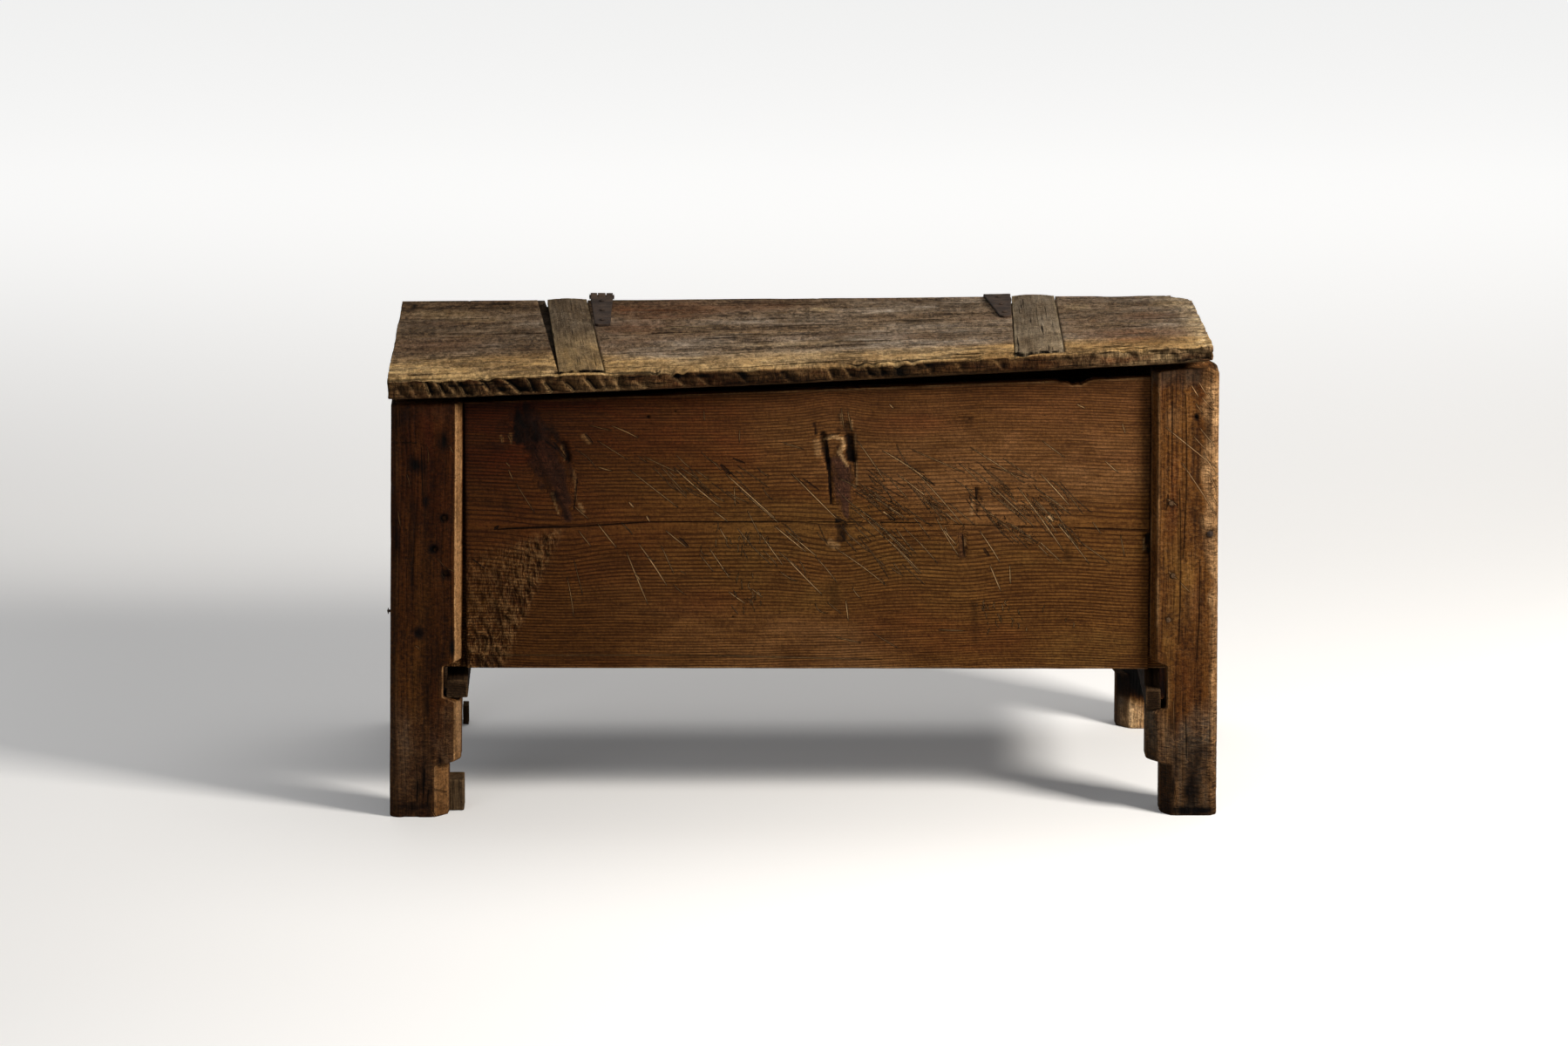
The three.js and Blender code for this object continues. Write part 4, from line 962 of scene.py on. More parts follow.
def make_front_panel():
    height = PANEL_TOP_RIGHT - PANEL_BOTTOM_RIGHT
    along = stations(PANEL_LOW.x, PANEL_HIGH.x, PANEL_FACE_STEP, PANEL_SHOULDERS)
    across = stations(0, height, PANEL_RISE_STEP)
    flat, faces, gap, rounded, outward = round_block(
        along, across, [0, 1.2, 3, 6, 12, PANEL_THICKNESS], (60, 24),
        lambda flat: 1.6 + 0.9 * noise(flat, 30, 11))
    x, z, top = panel_outline(rounded, height)
    depth = rounded[:, 2]
    face = outward[:, 2] < -0.5
    places, point = columns(x, z), columns(x, z, depth)
    leaning = columns(x + 0.28 * z, z, depth)

    strokes = photo_strokes(PANEL_SCRATCHES + PANEL_CRACKS, PANEL_FACE)
    for field in PANEL_FIELDS:
        strokes += random_scratches(*field)
    channels, sink = draw_strokes(places, strokes, face)

    ragged = 0.9 * fractal(leaning, (6, 11, 20), 32)
    knots, closeness = capsules(places, PANEL_KNOTS, PANEL_FACE, ragged)
    stains, _ = capsules(places, PANEL_DARKS, PANEL_FACE, 0.8 * ragged)
    pales, _ = capsules(places, PANEL_PALES, PANEL_FACE, 0.5 * ragged)
    hollow, _ = capsules(places, PANEL_HOLLOWS, PANEL_FACE, 0.3 * ragged)
    stains = np.clip(stains * (1.1 + 0.8 * fractal(leaning, (5, 18, 20), 41)), 0, 1)
    holes = pits(x, z, [(*hole, 1) for hole in PANEL_HOLES], PANEL_FACE)

    hatch = hatch_share(x, z) * face
    warped = leaning + 4 * noise(point, 30, 43)[:, None]
    dents = 1 - 2.4 * np.abs(noise(warped, (5.5, 13, 20), 31))
    ripple = 0.35 * fractal(point, (150, 22, 60), 33) + 0.5 * noise(point, (220, 120, 90), 34)
    chatter = 0.6 * fractal(leaning, (7, 20, 20), 35) * knots
    push = ripple + chatter + hatch * dents * 2.1 + 1.0 * pales - hollow - 3.5 * holes - sink
    outer = (x < PANEL_SHOULDERS[0]) | (x > PANEL_SHOULDERS[1])
    on_front = smooth(-0.2, -0.9, outward[:, 2])
    y = PANEL_FACE + depth - on_front * np.where(outer, 0, push)
    tongue = PANEL_FACE + PANEL_TONGUE_DROP + TONGUE_LAYER * depth
    y = np.where(outer & (depth < PANEL_TONGUE_DROP), tongue, y)

    ring = panel_rings(x, z, np.abs(depth))
    near_knot = ring * smooth(0.8, 1.6, closeness) + closeness * 5 * smooth(1.6, 0.8, closeness)
    ring = np.where(closeness < 1.6, near_knot, ring)
    left_shadow = 1.02 - 0.08 * smooth(330, 0, x) - 0.41 * smooth(-60, -460, x)
    left_shadow = left_shadow - 0.14 * smooth(420, 600, z)
    # Painted shade: the upper left corner is darker and redder still.
    corner = smooth(0, -440, x) * smooth(380, 570, z)
    left_shadow = left_shadow * (1 - 0.26 * corner)
    top_shadow = 1 - 0.10 * smooth(60, 0, top - z)
    mottle = 0.10 * fractal(point, (90, 40, 40), 36) + 0.10 * fractal(point, (16, 13, 13), 44)
    tone = left_shadow * top_shadow * (1 + mottle)

    wear = bell(gap / 2.2) * (0.35 + 0.3 * noise(flat, 25, 37)) * face
    # Chopping marks: pale on their crests, rubbed wood with painted highlight, and painted shade in their
    # hollows.
    crest = 0.3 + 0.6 * smooth(-365, -450, x) * smooth(340, 250, z)
    worn = np.maximum(wear, hatch * smooth(0.55, 0.95, dents) * crest)
    stains = np.maximum(stains, 0.42 * hatch * smooth(0.1, -0.5, dents))
    marks = (knots * 0.9, np.maximum(stains, holes), np.maximum(worn, pales))
    olive = 0.25 * smooth(0.1, 0.7, noise(point, (190, 60, 60), 38))
    ochre = 0.6 * smooth(-0.2, 0.6, noise(point, (260, 80, 60), 39)) * smooth(-400, 200, x)
    red = 0.3 * smooth(0.1, 0.7, noise(point, (130, 50, 40), 40))
    red = red + 0.6 * corner + 0.25 * smooth(470, 600, z)
    tints = (olive * (1 - corner), ochre * (1 - corner), red)
    values = wood_values((x, z, depth), ring, tone, marks, tints, 0.85 * hatch, channels)
    make_piece(
        "front_panel_wood", columns(x, y, z), faces, "chest", "panel_wood", "front_panel", values)


# Lid

def lid_fit():
    """The lid's upper face and thickness as formulas, fitted to the frame's lid boards."""
    tops, lows = [], []
    for node in ("lid_board_front", "lid_board_back"):
        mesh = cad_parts[node].data
        for face in mesh.polygons:
            group = tops if face.normal.z > 0.7 else lows if face.normal.z < -0.7 else None
            if group is not None:
                group += [tuple(mesh.vertices[v].co) for v in face.vertices]
    top = fit_surface(np.array(tops) * METRE, -3.0)
    low = fit_surface(np.array(lows) * METRE, -99.0)
    return top, low


def surface_terms(x, y):
    x, y = x / METRE, y / METRE
    return columns(np.ones_like(x), x, y, x * y, x * x, x * x * y)


def fit_surface(places, below):
    """Fits the surface, leaving out places that lie further below it than the housings allow."""
    kept = places
    for _ in range(6):
        terms = surface_terms(kept[:, 0], kept[:, 1])
        weights = np.linalg.lstsq(terms, kept[:, 2], rcond=None)[0]
        away = places[:, 2] - surface_terms(places[:, 0], places[:, 1]) @ weights
        kept = places[away > below]
    return weights


LID_TOP, LID_LOW = lid_fit()
LID_BOX = [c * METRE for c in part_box("lid_board_front")]
LID_LEFT, LID_RIGHT, LID_FRONT = LID_BOX[0].x, LID_BOX[1].x, LID_BOX[0].y
LID_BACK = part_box("lid_board_back")[1].y * METRE
# The joint between the lid's boards: its depth at both ends of the lid, and half its gap
JOINT_LEFT = 6.65
JOINT_RIGHT = -32.35
JOINT_HALF_GAP = 0.15
LID_STEP = 2.3
LID_BACK_STEP = 3.0
# The thickness of the blocks that the lid's boards and battens are shaped from, and their width,
# which is scaled to each board
LID_THICK = 26.0
BOARD_WIDE = 262.0
BATTEN_THICK = 12.0
BATTEN_WIDE = 60.0
HOUSING_DEPTH = 10.0
HOUSING_STOP = 8.0
# How much is worn off the back right corner, and how many fine cracks each board gets
LID_CORNER_CUT = 26.0
LID_RANDOM_LINES = 150
# Each batten's left and right edge at the front of the lid and at its back, and the housing's slack
LEFT_BATTEN = ((-329.75, -268.75), (-357.5, -302.0), 13.0)
RIGHT_BATTEN = ((286.75, 352.75), (301.75, 361.75), 0.0)


def lid_top(x, y):
    return surface_terms(x, y) @ LID_TOP


def lid_low(x, y):
    return surface_terms(x, y) @ LID_LOW


def on_lid(pixels):
    """Where pixels of the photograph fall on the lid's upper face: (x, y) of each."""
    directions = rays(pixels)
    height = np.full(len(directions), 640.0)
    for _ in range(8):
        reach = (height - CAMERA_PLACE[2]) / directions[:, 2]
        places = CAMERA_PLACE + directions * reach[:, None]
        height = lid_top(places[:, 0], places[:, 1])
    return places[:, :2]


def lid_columns():
    """Where the batten edges and the lid's ends are along the lid, at its front and at its back."""
    slack = 1.3
    front = [LID_LEFT]
    back = [LID_LEFT]
    for (front_pair, back_pair, gap) in (LEFT_BATTEN, RIGHT_BATTEN):
        front += [front_pair[0] - slack, front_pair[1] + slack]
        back += [back_pair[0] - slack - gap, back_pair[1] + slack]
    return np.array(front + [LID_RIGHT]), np.array(back + [LID_RIGHT])


def lid_x(a, deep):
    """Turns a place along the front of the lid into x at a depth, so that columns follow battens."""
    front, back = lid_columns()
    moved = np.interp(a, front, back)
    return a + (moved - a) * deep


def lid_tints(x, y, seed):
    """Ochre along the front of the lid, and grey and brown further back."""
    point = columns(x, y, 0)
    front = y - LID_FRONT
    edge = 70 + 55 * smooth(-150, -330, x) + 26 * noise(point, (150, 400, 1), seed)
    ochre = smooth(edge + 55, edge - 30, front)
    grey = 0.35 + 0.5 * patches(-0.3, 0.5, point, (170, 70, 1), seed + 1)
    red = 0.4 * patches(0.1, 0.6, point, (150, 50, 1), seed + 2) * (1 - ochre)
    return ochre, smooth(edge - 35, edge + 45, front) * grey, red


# Patches on the lid's upper face: photo pixel, half width and half height in pixels, and value
LID_GREY = [
    (1010, 388, 60, 12, 0.9), (1100, 385, 40, 14, 0.7), (520, 375, 70, 14, 0.35),
    (1180, 372, 90, 22, 0.5), (870, 392, 90, 7, 0.4),
]
LID_BROWN = [
    (760, 355, 80, 12, 0.9), (860, 350, 70, 6, 0.6), (1300, 385, 60, 9, 0.7), (500, 395, 60, 8, 0.4),
    (730, 375, 50, 9, 0.6), (1320, 362, 40, 5, 0.5),
]
LID_DARK = [
    (483, 376, 22, 8, 0.3), (475, 351, 3, 3, 1.0), (812, 390, 18, 5, 0.3), (885, 374, 20, 3, 0.4),
    (860, 347, 22, 3, 0.35), (590, 388, 40, 7, 0.2),
]
LID_PALE = [
    (510, 360, 40, 5, 0.5), (545, 366, 30, 4, 0.4), (905, 394, 60, 3, 0.4), (940, 354, 12, 2, 0.8),
    (1235, 352, 14, 3, 0.5), (1345, 347, 22, 6, 0.5), (1370, 372, 14, 14, 0.5),
    (1040, 405, 80, 6, 0.4), (880, 410, 140, 8, 0.35),
]
# Cracks and scratches that the photo shows on each board, in the terms of the panel's scratches
LID_CRACKS_FRONT = [
    (1268, 372, 1335, 366, 0.8, 0.9), (905, 397, 1000, 394, 0.6, -0.6),
    (690, 421, 800, 418, 0.8, -0.7), (800, 421, 960, 413, 0.8, -0.7, 1),
    (560, 404, 640, 402, 0.6, -0.6), (880, 417, 985, 411, 0.7, -0.7),
    (1050, 403, 1150, 397, 0.6, -0.6), (1230, 400, 1370, 391, 0.7, -0.6),
]
LID_CRACKS_BACK = [
    (707, 380.5, 775, 380, 0.7, 0.9), (870, 377.5, 890, 377, 1.2, -0.9),
    (950, 374, 1050, 373, 0.7, 0.8), (470, 366, 560, 364, 0.7, -0.6),
    (480, 392, 600, 388, 0.6, -0.5), (840, 366, 960, 363, 0.6, -0.5),
    (1240, 358, 1340, 356, 0.8, -0.7), (1300, 371, 1375, 367, 0.7, -0.8),
]


def lid_spots(rows):
    """Soft spots on the lid: a pixel across is worth more millimetres in depth than in width."""
    spots = []
    for px, py, wide, high, value in rows:
        x, y = on_lid([(px, py)])[0]
        x1 = on_lid([(px + 1, py)])[0, 0]
        y1 = on_lid([(px, py - 1)])[0, 1]
        spots.append((x, y, wide * (x1 - x), high * (y1 - y), value))
    return spots


# Strokes of the adze across the lid's front: start and end in photo pixels, width and depth in mm
LID_GOUGES = [
    (455, 447, 463, 457, 8, 2.5), (470, 440, 478, 456, 9, 2.5), (485, 432, 495, 456, 9, 3.5),
    (497, 432, 510, 453, 8, 3.5), (507, 434, 524, 452, 9, 3.0), (522, 434, 536, 456, 10, 4.0),
    (545, 430, 561, 448, 11, 3.5), (556, 432, 577, 452, 9, 3.0), (573, 430, 602, 455, 12, 5.0),
    (604, 432, 613, 453, 10, 3.5), (624, 438, 638, 457, 12, 4.0), (647, 438, 662, 452, 10, 3.5),
    (671, 434, 684, 449, 11, 4.0), (690, 436, 698, 448, 8, 2.5), (705, 435, 713, 449, 10, 3.0),
    (728, 436, 742, 446, 12, 2.5), (770, 428, 788, 446, 10, 3.0), (800, 430, 812, 442, 12, 2.5),
    (846, 426, 858, 440, 12, 2.5), (895, 424, 905, 438, 10, 2.5), (948, 416, 955, 434, 9, 3.5),
    (968, 416, 976, 434, 9, 3.5), (990, 413, 998, 431, 8, 3.0), (1006, 413, 1012, 430, 8, 3.0),
    (1024, 412, 1030, 429, 8, 3.0), (1060, 414, 1068, 428, 10, 2.5), (1096, 412, 1104, 426, 10, 2.5),
    (1140, 410, 1150, 422, 12, 2.5),
]


def gouges(x, z):
    """How deep the strokes of the adze go, and painted highlights along their left edges."""
    places = columns(x, z)
    cut = np.zeros(len(x))
    edge = np.zeros(len(x))
    for px0, py0, px1, py1, width, depth in LID_GOUGES:
        start, end = on_upright([(px0, py0), (px1, py1)], LID_FRONT)
        near = np.abs(x - (start[0] + end[0]) / 2) < 60
        along = end - start
        length = np.linalg.norm(along)
        offset = places[near] - start
        t = offset @ along / length ** 2
        side = (along[1] * offset[:, 0] - along[0] * offset[:, 1]) / -length
        taper = smooth(-0.35, 0.15, t) * smooth(1.35, 0.85, t)
        profile = np.where(side < 0, bell(side / 1.6), bell(side / width))
        cut[near] = np.maximum(cut[near], 1.55 * depth * profile * taper)
        glint = min(1.0, (depth / 4.0) ** 2)
        edge[near] = np.maximum(edge[near], glint * bell((side + 1.4) / 1.5) * taper)
    return cut, edge


def gouge_glints():
    """Painted highlights in thin bright lines along the left edges of the deeper strokes, and painted
    shadows in dark lines beside them.
    """
    lines = []
    for px0, py0, px1, py1, _, depth in LID_GOUGES:
        start, end = on_upright([(px0 - 1.5, py0), (px1 - 1.5, py1)], LID_FRONT)
        reach = end - start
        if depth > 3 and start[0] < -150:
            pale = bent_line(start + 0.1 * reach, start + 0.85 * reach, 1.5)
            lines.append((pale, 0.7 + 0.12 * depth, 0.9))
            lines.append((bent_line(start + [3.5, 0], end + [3.0, 0], 1.0), 0.8, -0.8))
    return lines


def scallops(x, rise):
    """Hollows left by the adze on the left of the lid's front, with sharp ridges between them."""
    point = columns(x, rise, 0)
    t = (x - 0.75 * rise + 14 * noise(point, (60, 30, 1), 51)) / 26.0
    cell = np.floor(t)
    part = t - cell
    deep = 2.0 + 1.6 * corner_value(cell.astype(np.int64), 0, 0, 52)
    return deep * 4 * part * (1 - part), bell(np.minimum(part, 1 - part) / 0.09)


# Pits chewed in the right end of the lid's front: photo pixels, half size in mm and depth in mm
LID_PITS = [
    (1330, 405, 12, 8), (1344, 409, 8, 6), (1368, 404, 15, 10), (1357, 399, 8, 7), (1383, 409, 8, 6),
    (1316, 410, 7, 5), (1300, 408, 7, 5), (1224, 411, 6, 4), (1378, 396, 7, 5), (1276, 409, 6, 4),
    (1250, 410, 7, 4), (1340, 399, 5, 4),
]
# Nicks and chips along the arris of the lid's front: photo pixel, width and depth in mm
LID_NICKS = [
    (753, 5, 5), (771, 4, 6), (784, 5, 4), (862, 9, 3), (985, 8, 5), (1003, 5, 5), (1030, 7, 5),
    (1048, 5, 6), (1120, 9, 4), (1163, 6, 4), (1175, 6, 3), (560, 7, 4), (545, 6, 3), (705, 12, 3),
    (1290, 7, 4), (1312, 7, 5), (640, 5, 3),
]


def lid_front_push(x, rise):
    """How far the lid's front face is cut back, how pale it is with wear and painted highlights, and how
    dark with stains and painted shade.
    """
    point = columns(x, rise, 0)
    scallop, ridge = scallops(x, rise)
    left = smooth(-150, -300, x)
    middle = smooth(-330, -150, x) * smooth(520, 440, x)
    right = smooth(400, 470, x)
    stroke, edge = gouges(x, rise + lid_low(x, np.full(len(x), LID_FRONT)))
    chop = 0.5 + 0.5 * fractal(point, (24, 9, 1), 53)
    cut = left * scallop * 0.12 + stroke
    cut = cut + left * 1.6 * (0.5 + 0.5 * fractal(point, (20, 9, 1), 59))
    cut = cut + middle * (2.4 * chop + 1.6 * patches(0.1, 0.7, point, (10, 7, 1), 54))
    cut = cut + 0.8 * patches(0.0, 0.7, point, (14, 8, 1), 57)
    cut = cut + right * 1.6 * (0.5 + 0.5 * fractal(point, (12, 8, 1), 55))
    pit = np.zeros(len(x))
    for px, py, half, deep in LID_PITS:
        at = on_upright([(px, py)], LID_FRONT)[0]
        height = at[1] - lid_low(at[:1], np.array([LID_FRONT]))[0]
        away = np.hypot(x - at[0], (rise - height) * 1.1)
        pit = np.maximum(pit, deep * np.exp(-(away / half) ** 3))
    # The pale share: painted highlights on the gouges' left edges, over rubbed and chewed wood.
    worn = 0.85 * edge + left * ridge * 0.02
    worn = worn + 0.55 * left * patches(0.25, 0.6, point, (9, 14, 1), 68)
    worn = worn + middle * 0.4 * smooth(0.3, 0.0, chop)
    worn = worn + 0.75 * smooth(370, 470, x) * smooth(0.6, 0.2, chop)
    above = smooth(-4, 9, rise - 17 + 8 * noise(point, (16, 60, 1), 58))
    worn = worn + 0.4 * above * smooth(-250, 0, x)
    # The dark share: painted shade in the chewed pits and in the gouges, deeper where they are deeper,
    # over dark patches; darker too near the lower edge on the left.
    dark = 0.6 * smooth(1.5, 6, pit) + 0.6 * patches(-0.05, 0.5, point, (34, 9, 1), 56)
    dark = dark + 0.13 * stroke + 0.3 * smooth(13, 3, rise) * smooth(-300, -100, x)
    dark = dark * (1 - 0.55 * smooth(300, 400, x) * smooth(3, 9, rise))
    return cut + pit, worn, dark


def lid_lines(rows, low, high, seed):
    """A lid board's cracks and scratches: those in rows, and more at random between two depths."""
    lines = []
    for x0, y0, x1, y1, width, tone, *bend in rows:
        start, end = on_lid([(x0, y0), (x1, y1)])
        lines.append((bent_line(start, end, *bend), width, tone))
    chance = np.random.default_rng(seed)
    for _ in range(LID_RANDOM_LINES):
        x = chance.uniform(LID_LEFT + 20, LID_RIGHT - 110)
        start = np.array([x, chance.uniform(low, high)])
        reach = np.array([chance.uniform(14, 105), chance.uniform(-2.5, 2.5)])
        tone = -0.7 if chance.random() < 0.75 else 0.6
        line = bent_line(start, start + reach, chance.normal())
        lines.append((line, 0.4 + 1.1 * chance.random() ** 2, tone))
    return lines


def lid_housings(flat, is_front):
    """Which points of a lid board's block lie in the housings of the battens."""
    edges = lid_columns()[0]
    inside = np.zeros(len(flat), bool)
    for left, right in edges[1:5].reshape(2, 2):
        inside |= (flat[:, 0] > left) & (flat[:, 0] < right)
    if is_front:
        inside &= flat[:, 1] > HOUSING_STOP
    return inside & (flat[:, 2] < HOUSING_DEPTH)


def lid_tone(x, front, up, ends, facing, lengthways, point, seed):
    """How light a lid board is: front is the distance from the lid's front edge."""
    # The front face is darker: painted shade, as it faces away from the light, and dirt.
    hewn = facing * (0.58 + 0.1 * smooth(-250, -100, x) - 0.36 * smooth(310, 400, x))
    tone = 1 - 0.12 * smooth(0, 0.9, ends) - hewn + 0.14 * noise(lengthways, (200, 80, 60), 62)
    mottle = 0.30 * fractal(lengthways, (60, 44, 20), seed + 12)
    mottle = mottle + 0.3 * fractal(lengthways, (9, 24, 9), seed + 13)
    olive = facing * smooth(-330, -150, x) * smooth(300, 80, x)
    for change in (
        up * mottle,
        -0.28 * smooth(-180, -420, x) * smooth(60, 170, front) * up,
        -0.06 * up * smooth(120, 10, front),
        0.22 * smooth(-150, -350, x) * up * smooth(190, 60, front),
        -0.25 * olive * patches(-0.2, 0.5, point, (60, 30, 30), 63),
    ):
        tone = tone * (1 + change)
    return tone


def lid_board(name, node, front_y, back_y, step, seed, is_front):
    """One board of the lid, with its housings, worn arrises and, on the front one, its hewn edge.

    front_y and back_y are the depth of its edges at the left and at the right end of the lid."""
    along = stations(LID_LEFT, LID_RIGHT, step, lid_columns()[0][1:-1])
    across = stations(0, BOARD_WIDE, step, [HOUSING_STOP] if is_front else [])
    depths = [0, 1.2, 2.8, *np.linspace(4.6, LID_THICK - 1.2, 13), LID_THICK]

    def front_edge(flat):
        return bell(flat[:, 1] / 14) * is_front

    def radius(flat):
        mellow = 2.0 + 0.9 * noise(flat, 40, seed)
        middle = smooth(-300, -150, flat[:, 0]) * smooth(520, 380, flat[:, 0])
        hewn = 1.6 + 2.4 * middle + 1.5 * noise(flat, (30, 400, 400), seed + 1)
        return np.clip(mellow + front_edge(flat) * hewn, 0.8, 7)

    flat, faces, gap, rounded, outward = round_block(along, across, depths, (80, 20), radius)
    a, b, c = rounded.T
    joint_share = (a - LID_LEFT) / (LID_RIGHT - LID_LEFT)
    y0, y1 = (left + (right - left) * joint_share for left, right in (front_y, back_y))
    y = y0 + (y1 - y0) * b / BOARD_WIDE
    deep = (y - LID_FRONT) / (LID_BACK - LID_FRONT)
    x = lid_x(a, deep)
    corner = LID_CORNER_CUT * smooth(LID_BACK - 75, LID_BACK, y) ** 1.6
    x = x - corner * smooth(LID_RIGHT - 110, LID_RIGHT, x)
    top, low = lid_top(x, y), lid_low(x, y)
    z = top + (low - top) * c / LID_THICK
    point, lengthways = columns(x, y, z), columns(x, y, c)

    up = smooth(0.3, 0.9, -outward[:, 2])
    ends = smooth(0.3, 0.9, np.abs(outward[:, 0]))
    facing = smooth(0.35, 0.9, -outward[:, 1]) * is_front
    near_front = bell((y - LID_FRONT) / 55) * is_front
    furrow = patches(0.05, 0.6, lengthways, (75, 8, 12), seed + 3, 2)
    push = 0.7 * fractal(lengthways, (160, 45, 60), seed + 2)
    push = push - furrow * up * (0.9 + 1.5 * near_front)
    gnawed = 4.6 * fractal(point, (90, 55, 26), seed + 4) - 2.2
    push = push + ends * (gnawed - 1.4 * patches(0, 0.6, point, (300, 9, 5), seed + 5))
    chips = patches(0.25, 0.75, point, (13, 11, 9), seed + 6) * bell(gap / 5)
    push = push - 2.4 * chips * (0.4 + 0.6 * np.maximum(ends, front_edge(flat)))
    worn = 0.4 * bell(gap / 3.0) * patches(-0.2, 0.6, point, (26, 20, 20), seed + 7)
    frayed = smooth(LID_RIGHT - 34, LID_RIGHT - 6, x + corner) * up
    worn = np.maximum(worn, 0.75 * frayed * patches(-0.3, 0.3, point, (8, 15, 9), seed + 14))
    push = push - 1.5 * frayed * patches(0.1, 0.6, point, (9, 12, 9), seed + 15)
    dark = np.zeros(len(x))
    if is_front:
        cut, ridge, front_stain_and_shade = lid_front_push(x, z - low)
        push = push - facing * cut
        for px, wide, nick in LID_NICKS:
            at = on_upright([(px, 430)], LID_FRONT)[0, 0]
            near = bell((x - at - 0.5 * (c - 4)) / wide) * bell(b / 9) * bell(c / 10)
            push = push - 1.5 * nick * near
            dark = np.maximum(dark, 0.45 * near)
        # Pale: rubbed ridges and the painted highlights on the gouges.
        worn = np.maximum(worn, facing * ridge)
        dark = np.maximum(dark, facing * front_stain_and_shade)
        y = y + 1.7 * fractal(columns(a, 0, 0), (46, 1, 1), 64) * bell(b / 16)
        z = z - 2.6 * patches(0.0, 0.8, columns(a, 0, 0), (30, 1, 1), 65) * bell(b / 8) * bell(c / 9)
        z = z - (1.2 + 3.4 * bell((x - 20) / 260)) * bell(b / 16) * bell(c / 12)

    housing = lid_housings(flat, is_front)
    world = columns(x, y, z) + outward * np.array([1, 1, -1]) * push[:, None]
    batten_left = np.interp(deep, [0, 1], [LEFT_BATTEN[0][0], LEFT_BATTEN[1][0]])
    lip = (y > LID_BACK - 14) & (x < batten_left - 3.5) & (x < 0)
    floor = top - np.where(lip, 0.8, HOUSING_DEPTH)
    world[:, 2] = np.where(housing, np.minimum(world[:, 2], floor), world[:, 2])

    places = columns(x, y)
    ochre, grey, red = lid_tints(x, y, 61)
    grey = np.maximum(grey * 0.8, blobs(places, lid_spots(LID_GREY))) * up
    red = np.maximum(red * 0.7, blobs(places, lid_spots(LID_BROWN))) * up
    dark = np.maximum(dark, blobs(places, lid_spots(LID_DARK)) * up)
    worn = np.maximum(worn, blobs(places, lid_spots(LID_PALE)) * up * 0.7)
    hewn_ochre = 0.05 + 0.5 * patches(-0.1, 0.5, point, (60, 30, 9), 67)
    ochre = np.maximum(ochre * up, facing * hewn_ochre)
    red = np.maximum(red, 0.85 * facing * patches(-0.3, 0.4, point, (70, 20, 12), 66))
    # Painted shade: the housings' floors, seen in the gap beside the left batten, and the hollows of the
    # furrows on the top are darkened.
    dark = np.maximum(dark, 0.8 * housing)
    dark = np.maximum(dark, up * (0.25 + 0.4 * near_front) * smooth(0.5, 1.0, furrow))
    tone = lid_tone(x, y - LID_FRONT, up, ends, facing, lengthways, point, seed)

    pith = LID_FRONT + 130 + seed % 2 * 60
    wander = 9 * fractal(lengthways, (230, 90, 60), seed + 8)
    ring = ring_count(np.hypot(y - pith + wander + 0.04 * x, c + 45 + 0.02 * x))
    rows = LID_CRACKS_FRONT if is_front else LID_CRACKS_BACK
    lines = lid_lines(rows, y.min() + 8, y.max() - 5, seed + 9)
    channels, sink = draw_strokes(places, lines, (up > 0.6) & ~housing)
    world[:, 2] -= sink * 0.6
    if is_front:
        # The gouges' painted highlights and shadows, drawn as strokes on the hewn face.
        hewn = facing > 0.4
        glints, _ = draw_strokes(columns(x, z), gouge_glints(), hewn)
        channels = [np.where(hewn[:, None], *pair) for pair in zip(glints, channels)]
    below = smooth(0.3, 0.9, outward[:, 2])
    values = wood_values(
        (x, y, c + seed * 370.0), ring, tone * (1 - 0.25 * below), (0, dark, worn),
        (grey, ochre, red), 0.35 * facing - below, channels)
    make_piece(name, world, faces, "lid", "lid_wood", node, values)


def make_lid():
    joint = np.array([JOINT_LEFT, JOINT_RIGHT])
    front, back = (LID_FRONT, LID_FRONT), (LID_BACK, LID_BACK)
    lid_board(
        "lid_front_wood", "lid_board_front", front, joint - JOINT_HALF_GAP, LID_STEP, 70, True)
    lid_board(
        "lid_back_wood", "lid_board_back", joint + JOINT_HALF_GAP, back, LID_BACK_STEP, 81, False)


